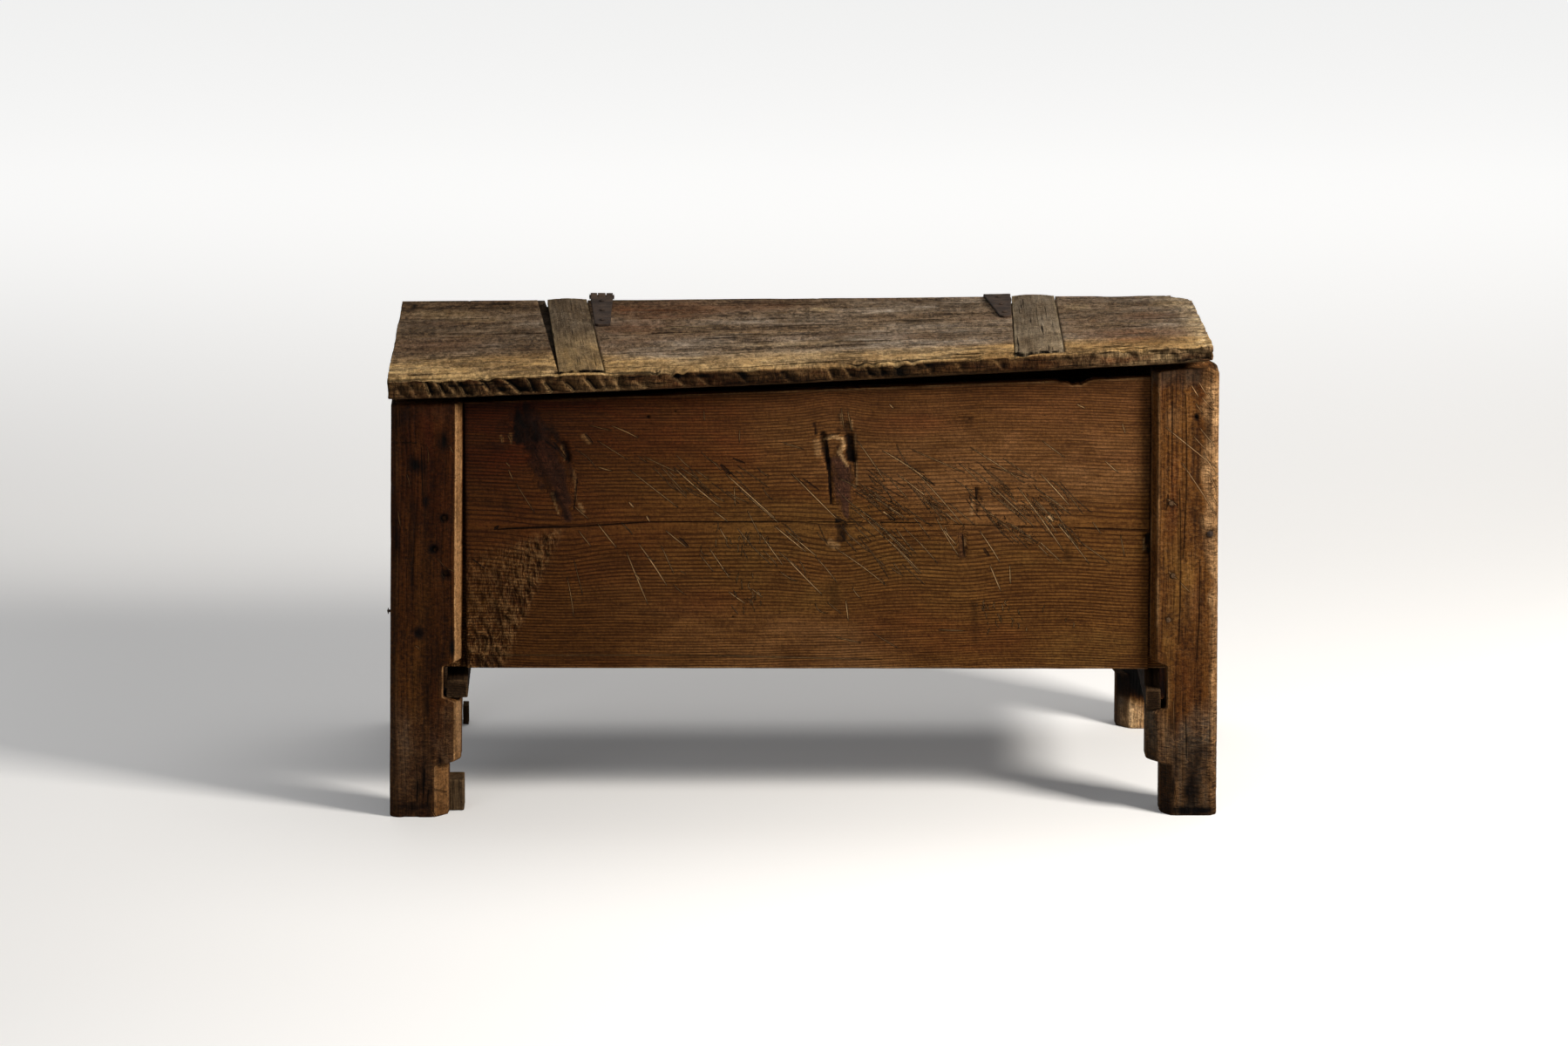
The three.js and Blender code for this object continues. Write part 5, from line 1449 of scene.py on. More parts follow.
def make_batten(name, node, edges, proud, end_sag, ochre, tone, seed):
    """A bar of wood let into the lid from above, rounded with wear."""
    along = stations(0, LID_BACK - LID_FRONT - HOUSING_STOP, 2.4)
    flat, faces, gap, rounded, outward = round_block(
        along, stations(0, BATTEN_WIDE, 1.9), [0, 1, 2.4, 5, 8, BATTEN_THICK], (30, 8),
        lambda flat: 1.6 + 0.8 * noise(flat, 30, seed))
    a, b, c = rounded.T
    share = b / BATTEN_WIDE
    y = LID_FRONT + HOUSING_STOP + a
    deep = (y - LID_FRONT) / (LID_BACK - LID_FRONT)
    left, right = (front + (back - front) * deep for front, back in zip(edges[0], edges[1]))
    x = left + (right - left) * share
    point = columns(x, y, c)
    up = smooth(0.3, 0.9, -outward[:, 2])
    end = smooth(0.3, 0.9, -outward[:, 0])
    crown = 2.2 * (4 * share * (1 - share)) - 1.1
    rough = 0.5 * fractal(point, (5, 30, 9), seed + 1, 2)
    rough = rough + 0.6 * fractal(point, (40, 60, 9), seed + 2)
    sunk = c * (HOUSING_DEPTH - 0.4 + proud) / BATTEN_THICK
    z = lid_top(x, y) + proud + up * (crown + rough - end_sag * bell(a / 16)) - sunk
    ragged = 3.0 * patches(0.0, 0.6, point, (9, 60, 9), seed + 3) * bell(a / 7)
    y = y + end * (1.6 + 1.6 * ragged) - 0.6 * end * fractal(point, 6, seed + 4)
    z = z - 1.2 * up * patches(0.2, 0.7, point, (10, 14, 9), seed + 5) * bell(gap / 4)

    ochre = smooth(330, 60, a) * ochre
    vee = np.abs(share - 0.5) * 9
    ring = (a + 30 * vee + 6 * fractal(point, (20, 40, 9), seed + 6)) / 9
    worn = 0.5 * bell(gap / 3) * (0.5 + 0.5 * noise(point, 20, seed + 7))
    # Painted shadow: the batten's front end is dark where it meets the lid's front lip.
    dark = 1.3 * bell(a / 5) * patches(-0.45, 0.25, point, (7, 9, 9), seed + 8)
    dark = np.maximum(dark, 0.35 * patches(0.35, 0.8, point, (25, 40, 9), seed + 9))
    tone = tone * (1 - 0.16 * smooth(120, 420, a)) * (1 + 0.15 * noise(point, (30, 90, 9), seed + 10))
    tone = tone * (1 + 0.2 * up * fractal(point, (9, 30, 9), seed + 11))
    values = wood_values(
        (a, b, c + seed * 310.0), ring, tone, (0, dark, worn), ((1 - ochre) * 0.6, ochre, 0), 0.25)
    make_piece(name, columns(x, y, z), faces, "lid", "batten_wood", node, values)


# Posts

POST_DEPTH = 58.0
HALF_WIDTH = 565.0
CENTRE_SHIFT = 1.75
SPLAY_HEIGHT = 629.0
OUTER_BEVEL = 8.0
BACK_BEVEL = 3.0
# How deep the inner bevel reaches back into a post, and into the notch's wall
BEVEL_DEPTH = 19.0
NOTCH_BEVEL = 2.0
TOP_ROUND = 4.0
FOOT_ROUND = 1.6
# The height up to which light from the front reaches the back right post, under the floor
SHADE_Z = 47.0


def post_edges(w, b, bevel_depth):
    """Corners of a post's section as inset from the outer face and depth, at each height."""
    o = np.zeros_like(w)
    return [
        (o, o + POST_DEPTH - BACK_BEVEL), (o, o + OUTER_BEVEL), (o + OUTER_BEVEL, o), (w - b, o),
        (w, o + bevel_depth), (w, o + POST_DEPTH - BACK_BEVEL), (w - BACK_BEVEL, o + POST_DEPTH),
        (o + BACK_BEVEL, o + POST_DEPTH),
    ]


def post_loops(post, z, step):
    """Points round the post at each height, as insets and depths, with distance to the next corner."""
    w = np.full(len(z), post["width"])
    b = np.full(len(z), post["bevel"])
    notch_low, notch_high = post["notch"]
    upper = z > (notch_low + notch_high) / 2
    w[upper], b[upper] = post["upper"]
    notch = (z > notch_low) & (z < notch_high)
    w[notch], b[notch] = post["wall"], NOTCH_BEVEL
    if post["foot"]:
        foot_height, foot_width, foot_bevel = post["foot"]
        low = z < foot_height
        w[low], b[low] = foot_width, foot_bevel
    corners = post_edges(w, b, np.where(notch, NOTCH_BEVEL, BEVEL_DEPTH))
    # The spans of each side in turn, from the outer face round the front to the back
    counts = [int(n) for n in (47 / 3.5, 7, 84 / step, 14, 40 / (step * 1.4), 3, 90 / 6, 3)]
    inset, deep, corner_gap = [], [], []
    for k, count in enumerate(counts):
        (x0, y0), (x1, y1) = corners[k], corners[(k + 1) % len(corners)]
        t = np.arange(count) / count
        inset.append(x0[:, None] + (x1 - x0)[:, None] * t)
        deep.append(y0[:, None] + (y1 - y0)[:, None] * t)
        corner_gap.append(np.minimum(t, 1 - t) * np.hypot(x1 - x0, y1 - y0)[:, None])
    return [np.concatenate(parts, 1) for parts in (inset, deep, corner_gap)]


def soften(grid, passes):
    """Rounds a grid of loops by averaging each point with its neighbours."""
    for _ in range(passes):
        grid = 0.5 * grid + 0.25 * (np.roll(grid, 1, 1) + np.roll(grid, -1, 1))
        inner = 0.5 * grid[1:-1] + 0.25 * (grid[:-2] + grid[2:])
        grid = np.concatenate([grid[:1], inner, grid[-1:]])
    return grid


def loop_normals(points):
    around = np.roll(points, -1, 1) - np.roll(points, 1, 1)
    upward = np.gradient(points, axis=0)
    normal = np.cross(around, upward)
    return normal / (np.linalg.norm(normal, axis=2, keepdims=True) + 1e-9)


def post_grid(post):
    """A post's surface as loops of points at rising heights, in a grid.

    With it come each point's direction outwards, inset, depth and distance from a corner."""
    side, step, top = post["side"], post["step"], post["top"]
    z = np.concatenate([
        [0, 0.6, 1.6, 3], np.arange(5, top - 7, step * 1.15),
        top - np.array([6, 4.2, 2.8, 1.6, 0.7, 0.2, 0]),
    ])
    inset, deep, corner_gap = post_loops(post, z, step)
    level = np.repeat(z[:, None], inset.shape[1], 1)
    grid = soften(np.stack([inset, deep, level], -1), post["passes"])
    inset, deep, level = grid[..., 0], grid[..., 1], grid[..., 2]
    over = np.clip(level - (top - TOP_ROUND), 0, TOP_ROUND)
    shrink = TOP_ROUND - np.sqrt(TOP_ROUND ** 2 - over ** 2)
    shrink = shrink + np.clip(FOOT_ROUND - level, 0, FOOT_ROUND) * 0.6
    lean = side * post["splay"] * (0.5 - level / SPLAY_HEIGHT)
    x = side * (HALF_WIDTH - inset) + lean + CENTRE_SHIFT
    y = post["front"] + deep
    points = np.stack([x, y, level], -1)
    normal = loop_normals(points)
    from_middle = points[..., :2] - points[..., :2].mean(1, keepdims=True)
    if np.sum(normal[..., :2] * from_middle) < 0:
        normal = -normal
    points = points - normal * np.array([1, 1, 0]) * shrink[..., None]
    return points, normal.reshape(-1, 3), inset.ravel(), deep.ravel(), corner_gap.ravel()


def post_looks(post, place, x, z, inset, deep, gap, outward, stain):
    """The growth rings, tone, marks, tints and roughness of a post's sides."""
    seed, side, top = post["seed"], post["side"], post["top"]
    sooty, top_grey, bevel_highlight = post["grime_grey"], post["top_grey"], post["bevel_highlight"]
    on_face = columns(x, z)
    facing = smooth(0.4, 0.9, -outward[:, 1])
    bevel = smooth(0.15, 0.5, -side * outward[:, 0]) * smooth(0.2, 0.6, -outward[:, 1])
    under = smooth(215, 195, z) * bevel * smooth(85, 100, z)
    foot_bevel = bevel * smooth(100, 84, z)
    # A pale band down the right posts' outer edge: rubbed wood, with a painted highlight where the edge
    # turns to the light.
    band = 13 + 15 * smooth(330, 420, z)
    rubbed_lit_edge = smooth(band, 0.45 * band, inset + 7 * noise(place, (30, 30, 22), seed + 13))
    rubbed_lit_edge = rubbed_lit_edge * (side > 0) * (deep < 30)
    grime = 0.3 + 0.7 * patches(-0.3, 0.5, place, (22, 22, 30), seed + 6)
    grime = 0.8 * smooth(post["grime"], 0, z) * grime
    ashen = post["foot_grey"] * smooth(180, 90, z + 60 * fractal(place, (30, 30, 60), seed + 20))
    knot_spots = photo_spots(post["knots"], post["front"])
    knots = blobs(on_face, knot_spots) * facing

    worn = 0.35 + 0.65 * smooth(-0.4, 0.5, noise(place, (14, 14, 40), seed + 4))
    worn = 0.75 * bell(gap / 3.2) * worn * post["wear"]
    worn = np.maximum(worn, rubbed_lit_edge * (0.55 + 0.42 * noise(place, (8, 8, 18), seed + 5)))
    chewed = patches(0.0, 0.5, place, (7, 7, 13), seed + 21) * smooth(110, 85, z)
    # Painted highlight: the inner bevel, where it faces the light, is pale.
    worn = np.maximum(worn, bevel * bevel_highlight) * (1 - 0.6 * under) * (1 - 0.5 * bevel * chewed)
    pale = blobs(on_face, photo_spots(post["pales"], post["front"])) * facing
    worn = np.maximum(worn, pale * (0.75 + 0.7 * fractal(place, (5, 8, 22), seed + 19)))
    flaked = sooty * smooth(120, 20, z) * facing
    worn = np.maximum(worn, 0.6 * flaked * patches(0.15, 0.5, place, (6, 9, 26), seed + 17))
    stain = np.maximum(stain, 0.75 * flaked * patches(0.05, 0.45, place, (16, 16, 30), seed + 18))

    grey = smooth(top - 28, top - 8, z + 8 * noise(place, (9, 9, 30), seed + 7))
    grey = np.max([0.8 * grey * top_grey, grime * sooty, 0.7 * under, ashen, 0.75 * foot_bevel], 0)
    ochre = 0.5 * patches(0.0, 0.6, place, (25, 25, 160), seed + 8)
    red = 0.5 * patches(0.1, 0.7, place, (18, 18, 120), seed + 9)
    red = red + post["redness"] * smooth(250, 450, z)

    top_band = smooth(top - 30, top - 8, z + 8 * noise(place, (9, 9, 30), seed + 15))
    lit = post["front_gain"] * facing * smooth(SHADE_Z + 5, SHADE_Z - 12, z)
    shade = facing * smooth(SHADE_Z - 7, SHADE_Z + 7, z) * smooth(215, 205, z)
    soot = smooth(130, 30, z + 45 * fractal(place, (24, 24, 50), seed + 16))
    # The bevel's painted highlight also lightens its tone, less under the panel and near the foot.
    lit_bevel = bevel * bevel_highlight * (1 - 0.8 * under) * (1 - 0.6 * smooth(100, 80, z))
    tone = post["tone"]
    for change in (
        post["mottle"] * fractal(place, (20, 20, 70), seed + 10),
        -0.6 * top_grey * top_band,
        lit,
        -min(post["front_gain"], 0.9) * shade,
        -(0.5 - 0.15 * ashen) * soot * sooty,
        -post["low_shade"] * smooth(320, 110, z),
        -0.45 * rubbed_lit_edge * patches(0.1, 0.7, place, 9, seed + 14),
        -0.35 * grime * (1 - sooty),
        1.3 * lit_bevel,
        -0.42 * foot_bevel * smooth(0.35, 0.8, -side * outward[:, 0]),
    ):
        tone = tone * (1 + change)

    wander = 7 * fractal(place, (60, 60, 170), seed + 11)
    for knot_x, knot_z, *_ in knot_spots:
        wander = wander + 7 * bell((x - knot_x) / 26) * bell((z - knot_z) / 60)
    ring = ring_count(np.hypot(inset - post["pith"] + wander, deep + 26))
    marks = (knots, np.maximum(stain, grime * 0.25), worn)
    return ring, tone, marks, (grey, ochre, red), post["rough"] + 0.7 * rubbed_lit_edge + 0.5 * ashen


def make_post(post):
    seed, top, front = post["seed"], post["top"], post["front"]
    grid, outward, inset, deep, gap = post_grid(post)
    place = grid.reshape(-1, 3)
    x, _, z = place.T
    facing = smooth(0.4, 0.9, -outward[:, 1])
    strokes = photo_strokes(post["strokes"], front)
    channels, sink = draw_strokes(columns(x, z), strokes, facing > 0.5)
    stain = blobs(columns(x, z), photo_spots(post["stains"], front))
    stain = np.clip(1.25 * stain, 0, 1) * facing
    stain = np.clip(stain * (1 + 0.8 * fractal(place, (6, 6, 26), seed + 12)), 0, 1)

    push = 0.7 * fractal(place, (45, 45, 130), seed) + 0.3 * fractal(place, (7, 7, 70), seed + 1, 2)
    chips = patches(0.22, 0.8, place, (10, 10, 16), seed + 2) * bell(gap / 4.5)
    push = push - post["chips"] * chips
    push = push - 2.2 * bell(z / 16) * patches(0.0, 0.7, place, (14, 14, 10), seed + 3)
    push = push - facing * (sink + pits(x, z, post["dents"], front))
    place = place + outward * push[:, None]
    slope = np.interp(inset, [0, 14, 60, 95], post["crown"])
    place[:, 2] = np.clip(place[:, 2] + slope * smooth(top - 45, top, z), 0, None)
    place[:, 2] = np.where(z < 0.01, 0.0, place[:, 2])

    faces = tube_faces(*grid.shape[:2])
    loops = np.arange(len(place)).reshape(grid.shape[:2])
    shares = [0.96, 0.85, 0.65, 0.35]
    foot_centre = np.append(place[loops[0]].mean(0)[:2], 0.0)
    points = cap(place, faces, loops[0][::-1], foot_centre, shares)
    points = cap(points, faces, loops[-1], place[loops[-1]].mean(0), shares)
    ends = points[len(place):]

    def with_ends(data, at_ends=0.0):
        return np.append(data, np.broadcast_to(at_ends, len(ends)))

    ring, tone, marks, tints, rough = post_looks(
        post, place, x, z, inset, deep, gap, outward, stain)
    end_rings = ring_count(np.hypot(ends[:, 0] - ends[:, 0].mean() + 30, ends[:, 1] - front + 26))
    grain = (
        with_ends(z, top), with_ends(inset, ends[:, 0]),
        with_ends(deep, ends[:, 1]) + seed * 290.0,
    )
    values = wood_values(
        grain, with_ends(ring, end_rings), with_ends(tone, 0.8),
        [with_ends(mark) for mark in marks], [with_ends(tint, 0.2) for tint in tints],
        with_ends(rough), [np.append(field, np.tile(NO_STROKE, (len(ends), 1)), 0) for field in channels])
    make_piece(post["name"], points, faces, "chest", "post_wood", post["node"], values)


# What a post has where its own list says nothing else
POST = {"mottle": 0.42, "redness": 0.0, "front_gain": 0.0}

# Each post's shape and looks: heights, widths and depths in mm, spots, dents and strokes in photo pixels.
# upper: width and bevel above the notch. foot: its height, width and bevel. side: -1 left, 1 right.
LEFT_POST = {
    "name": "front_left_post_wood", "node": "post_front_left", "side": -1, "front": -253.35,
    "top": 581.5, "width": 97.5, "bevel": 9.0, "upper": (97.5, 9.0), "notch": (168.0, 217.4),
    "wall": 72.7, "foot": (77.0, 81.0, 19.0), "splay": 9.5, "crown": (0, 0, 0, 0),
    "seed": 120, "step": 1.75, "passes": 2, "chips": 2.4, "rough": 0.1, "pith": 55.0,
    # The left post's low tone, and the redness of its upper part, are painted shade: the light falls from
    # the right.
    "tone": 0.315, "low_shade": -0.36, "mottle": 0.6, "wear": 0.25, "bevel_highlight": 1.15,
    "grime": 60.0, "grime_grey": 0.35, "top_grey": 0.25, "foot_grey": 0.45, "redness": 0.45,
    "stains": [
        (477, 533, 9, 12, 0.75, 35), (507, 505, 8, 14, 0.7), (487, 545, 3, 45, 0.5),
        (473, 590, 4, 30, 0.45), (472, 650, 4, 40, 0.4), (518, 738, 5, 18, 0.75),
        (466, 500, 5, 20, 0.3), (455, 620, 5, 50, 0.5), (488, 575, 4, 10, 0.6),
        (490, 800, 3, 20, 0.45), (505, 872, 4, 6, 0.6), (485, 892, 3, 18, 0.6),
        (478, 905, 3, 16, 0.55), (470, 925, 30, 7, 0.6), (480, 770, 4, 12, 0.35),
        # Painted shade: the four spots at 509, 497.5, 511 and 480 darken the peg holes.
        (509, 594, 6, 6.5, 0.95), (497.5, 629.5, 7, 6, 0.95), (511, 658.5, 6, 6.5, 0.95),
        (480, 726, 7, 8, 0.9), (500, 760, 14, 30, 0.3), (460, 480, 12, 14, 0.4),
    ],
    "pales": [(500, 905, 3, 24, 0.4)],
    "knots": [
        (480, 726, 8, 8, 0.9), (470, 478, 9, 5, 0.6), (497, 629, 6, 6, 0.7), (497, 845, 6, 7, 0.5),
    ],
    "dents": [
        (509, 594, 4.4, 5.0), (497.5, 629.5, 4.4, 4.6), (511, 658.5, 4.4, 5.0), (469, 477, 5, 1.5),
        (512, 845, 3, 1.0), (478, 726, 5, 1.6), (506, 503, 6, 1.2), (474, 533, 6, 1.2),
    ],
    "strokes": [
        (460, 507, 478, 508, 0.4, 0.5), (489, 512, 490, 532, 0.5, 0.6, 2),
        (466, 543, 470, 560, 0.6, 0.6, 1), (512, 652, 521, 656, 0.8, 0.9, 1),
        # Painted highlights: the two short strokes ending at 599.5 and 664 on this line, and the first on
        # the next, light the peg holes' lower rims.
        (504, 592, 507.5, 599.5, 0.6, 0.9), (506, 657, 509.5, 664, 0.6, 0.9),
        (493, 628, 495.5, 634, 0.5, 0.6), (500, 639, 512, 652, 0.4, 0.6),
        (515, 510, 520, 520, 0.7, 0.8), (456, 585, 459, 605, 0.9, 0.7),
        (487, 880, 485, 915, 0.7, -0.9), (491, 905, 490, 925, 0.6, -0.8),
        (479, 895, 478, 920, 0.6, -0.8), (475, 740, 481, 745, 0.8, 0.8, 1),
        (483, 512, 485, 580, 0.5, -0.7), (498, 905, 512, 912, 0.7, 0.8),
        (495, 930, 500, 938, 1.0, 0.9),
    ],
}

RIGHT_POST = {
    "name": "front_right_post_wood", "node": "post_front_right", "side": 1, "front": -253.35,
    "top": 629.0, "width": 98.0, "bevel": 15.5, "upper": (91.7, 8.2), "notch": (149.5, 215.0),
    "wall": 69.8, "foot": (73.5, 78.5, 15.5), "splay": 3.8, "crown": (-5.0, 1.0, -2.0, -7.0),
    "seed": 140, "step": 1.75, "passes": 2, "chips": 2.8, "rough": 0.12, "pith": 30.0,
    "tone": 0.9, "low_shade": 0.45, "wear": 0.5, "bevel_highlight": 0.0,
    "grime": 105.0, "grime_grey": 0.8, "top_grey": 1.0, "foot_grey": 1.0,
    "stains": [
        (1372, 478, 3, 5, 0.95), (1322, 600, 3, 10, 0.5), (1325, 535, 4, 14, 0.5),
        (1326, 565, 4, 8, 0.6), (1393, 612, 5, 5, 0.4), (1368, 500, 8, 20, 0.25),
        (1385, 495, 6, 14, 0.35), (1370, 590, 3, 12, 0.35), (1366, 900, 12, 34, 0.7),
        (1374, 868, 14, 18, 0.5), (1362, 929, 36, 6, 0.85), (1352, 866, 10, 16, 0.45),
        (1345, 905, 3, 30, 0.6), (1366, 850, 16, 10, 0.35), (1347, 830, 4, 8, 0.4),
        (1343, 830, 3, 20, 0.3), (1344, 577, 5.5, 6, 0.55), (1344.5, 660, 5.5, 6, 0.55),
        (1340, 709.5, 4.5, 5, 0.55), (1388, 612, 6, 6, 0.8),
    ],
    "pales": [
        # (1391, 895) is a painted highlight on the foot's outer edge, which faces the light.
        (1349, 908, 4, 20, 0.75), (1356, 882, 4, 22, 0.55), (1391, 895, 7, 34, 0.8),
        (1378, 915, 4, 16, 0.4), (1342, 870, 6, 14, 0.4), (1335, 835, 8, 22, 0.35),
        (1352, 330, 4, 8, 0.4), (1345, 480, 8, 16, 0.25),
    ],
    "knots": [(1391, 612, 13, 20, 0.35), (1368, 690, 8, 20, 0.3)],
    "dents": [
        (1343.5, 577, 4.6, 1.6), (1344, 660, 4.6, 1.6), (1339, 710, 3.6, 1.2),
        (1371.7, 478.5, 2.6, 3.5), (1322, 600, 3, 2),
    ],
    "strokes": [
        (1335, 488, 1396, 537, 0.7, 0.95), (1355, 530, 1397, 594, 0.6, 0.9, 1),
        (1366, 440, 1375, 455, 0.8, 0.9), (1374, 436, 1384, 452, 0.7, 0.9),
        (1378, 455, 1392, 470, 0.7, 0.9), (1369, 500, 1384, 516, 0.6, 0.8),
        (1376, 490, 1394, 512, 0.7, 0.9), (1380, 520, 1396, 545, 0.8, 0.9),
        (1386, 540, 1396, 562, 0.8, 0.9), (1388, 562, 1396, 580, 0.8, 0.9),
        (1338, 572, 1350, 580, 1.0, 0.8, 1), (1340, 566, 1338, 584, 0.9, -0.7),
        (1340, 655, 1350, 664, 1.0, 0.8), (1353, 667, 1366, 680, 0.5, 0.7),
        (1353, 560, 1352, 740, 0.5, -0.5, 2), (1360, 450, 1357, 640, 0.4, -0.45, 3),
        (1345, 440, 1344, 560, 0.4, -0.4), (1376, 640, 1372, 760, 0.4, -0.4, 2),
        (1346, 800, 1347, 850, 0.6, 0.7), (1360, 820, 1361, 870, 0.5, -0.5),
        (1345, 895, 1350, 925, 0.8, 0.7), (1332, 770, 1333, 800, 0.5, 0.7),
        (1385, 450, 1392, 462, 0.7, 0.9), (1371, 462, 1380, 474, 0.6, 0.8),
    ],
}

BACK_LEFT_POST = {
    **LEFT_POST, "name": "back_left_post_wood", "node": "post_back_left", "front": 200.65,
    "top": 587.0, "width": 84.0, "bevel": 10.0, "upper": (84.0, 10.0), "notch": (168.0, 206.0),
    "foot": None, "seed": 160, "step": 3.0, "tone": 0.7, "bevel_highlight": 0.3,
    "pales": [], "stains": [], "knots": [], "dents": [], "strokes": [],
}

BACK_RIGHT_POST = {
    **RIGHT_POST, "name": "back_right_post_wood", "node": "post_back_right", "front": 200.65,
    "top": 593.0, "width": 124.0, "bevel": 18.0, "upper": (124.0, 18.0), "notch": (149.5, 206.0),
    "foot": (84.0, 115.5, 21.0), "crown": (0, 0, 0, 0), "seed": 180, "step": 3.0,
    "tone": 0.95, "front_gain": 2.4, "low_shade": 0.0, "wear": 0.4, "grime": 10.0, "foot_grey": 0.0,
    # Painted shade on the upper part, which the bearer shades, and on the left-facing bevel; the pale spot
    # is painted light on the lit foot.
    "stains": [
        (1299, 809, 2, 2, 0.9), (1284, 776, 16, 19, 1.0), (1300, 776, 16, 22, 1.0),
        (1312, 780, 14, 22, 1.0), (1281, 812, 4, 26, 0.5),
    ],
    "pales": [(1297, 820, 16, 16, 0.85)], "knots": [], "dents": [], "strokes": [],
}


# Plain boards: back, ends and floor, and the small pieces

def make_board(name, node, slot, lengthways, face, seed, step=4.0, radius=1.6, tone=1.0, edge_worn=0.4,
               shape=None):
    """A board as wide, long and thick as its frame node, rounded, uneven and grained along its length.

    lengthways is the axis along the grain, and face the signed axis that the fine face looks along.
    shape is a function that moves the finished points."""
    low, high = (np.array(corner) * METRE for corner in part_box(node))
    size = high - low
    along_axis, deep_axis = "xyz".index(lengthways), "xyz".index(face[1])
    across_axis = 3 - deep_axis - along_axis
    thick = size[deep_axis]
    along = stations(0, size[along_axis], step * 1.6)
    across = stations(0, size[across_axis], step)
    depths = [0, 0.9, 2.2, *np.linspace(4, thick - 1, max(2, int(thick / 6))), thick]
    coarse = (max(2, len(along) // 6), max(2, len(across) // 6))
    _, faces, gap, block, outward = round_block(
        along, across, depths, coarse, lambda flat: radius * (1 + 0.4 * noise(flat, 25, seed)))
    push = 0.4 * fractal(block, (120, 30, 30), seed + 1) - 0.5
    push = push - 1.2 * patches(0.3, 0.8, block, (12, 9, 9), seed + 2) * bell(gap / 4)
    block = block + outward * push[:, None]
    a, b, c = block.T
    world = np.zeros_like(block)
    world[:, along_axis] = low[along_axis] + a
    world[:, across_axis] = low[across_axis] + b
    world[:, deep_axis] = high[deep_axis] - c if face[0] == "+" else low[deep_axis] + c

    wander = 8 * fractal(block, (240, 60, 60), seed + 3)
    middle = size[across_axis] * (0.3 + 0.4 * (seed % 3) / 2)
    ring = ring_count(np.hypot(b - middle + wander, c + 40 + 0.02 * a))
    worn = edge_worn * bell(gap / 2.6) * (0.5 + 0.5 * noise(block, 25, seed + 4))
    dark = 0.35 * patches(0.4, 0.9, block, (70, 30, 30), seed + 5)
    tone = tone * (1 + 0.12 * fractal(block, (200, 60, 60), seed + 6))
    tints = (
        0.5 * patches(-0.2, 0.6, block, (160, 50, 50), seed + 7),
        0.4 * patches(0.0, 0.6, block, (180, 60, 50), seed + 8),
        0.3 * patches(0.2, 0.7, block, (140, 40, 50), seed + 9),
    )
    values = wood_values((a, b, c + seed * 270.0), ring, tone, (0, dark, worn), tints, 0.1)
    make_piece(name, shape(world) if shape else world, faces, "chest", slot, node, values)


# How far the front block reaches towards the foot, and the bearers' thickness under the front panel
FOOT_GAP = 3.5
STUB_HEIGHTS = {"left": 24.5, "right": 28.0}


def end_top(world):
    """The ends of the chest rise to the sloping underside of the lid."""
    low, high = world[:, 2].min(), world[:, 2].max()
    roof = lid_low(world[:, 0], world[:, 1]) - 0.9
    world[:, 2] = low + (world[:, 2] - low) * (roof - low) / (high - low)
    return world


def meet_foot(world):
    """The front block reaches a little further left, to the uneven side of the foot."""
    left, right = world[:, 0].min(), world[:, 0].max()
    world[:, 0] = right - (right - world[:, 0]) * (right - left + FOOT_GAP) / (right - left)
    return world


def bearer_stub(world):
    """In front of the panel's back a bearer is thinner, so that it passes under the panel."""
    low, high = world[:, 2].min(), world[:, 2].max()
    thinner = STUB_HEIGHTS["left" if world[0, 0] < 0 else "right"] / (high - low)
    share = np.where(world[:, 1] < PANEL_HIGH.y + 1.0, thinner, 1.0)
    world[:, 2] = low + (world[:, 2] - low) * share
    return world


def make_boards():
    make_board("back_panel_wood", "back_panel", "panel_wood", "x", "+y", 201, tone=0.95)
    for side, face, seed, tone in (("left", "-x", 211, 0.85), ("right", "+x", 221, 1.1)):
        make_board(
            f"{side}_end_wood", f"end_panel_{side}", "panel_wood", "y", face, seed, 3.4,
            tone=tone, shape=end_top)
    # The bearers' low tones are painted shade as well.
    for side, seed, radius, tone in (("left", 261, 2.2, 0.26), ("right", 271, 2.0, 0.22)):
        make_board(
            f"{side}_bearer_wood", f"floor_bearer_{side}", "bearer_wood", "y", "-z", seed, 1.6,
            radius, tone, 1.3, bearer_stub)
    for side, seed, radius, tone, shape in (
            ("front", 281, 1.8, 0.58, meet_foot), ("back", 291, 1.4, 0.5, None)):
        make_board(
            f"{side}_block_wood", f"foot_block_{side}", "block_wood", "z", "-y", seed, 1.2,
            radius, tone, shape=shape)


PEG_SIDES = 22
# How far the pegs of the front left post are sunk, and how light they and the others are; the sunk pegs'
# dark tone is painted shade in their holes
PEG_SUNK = 3.4
SUNK_PEG_SHADE_TONE = 0.16
PEG_TONE = 0.9


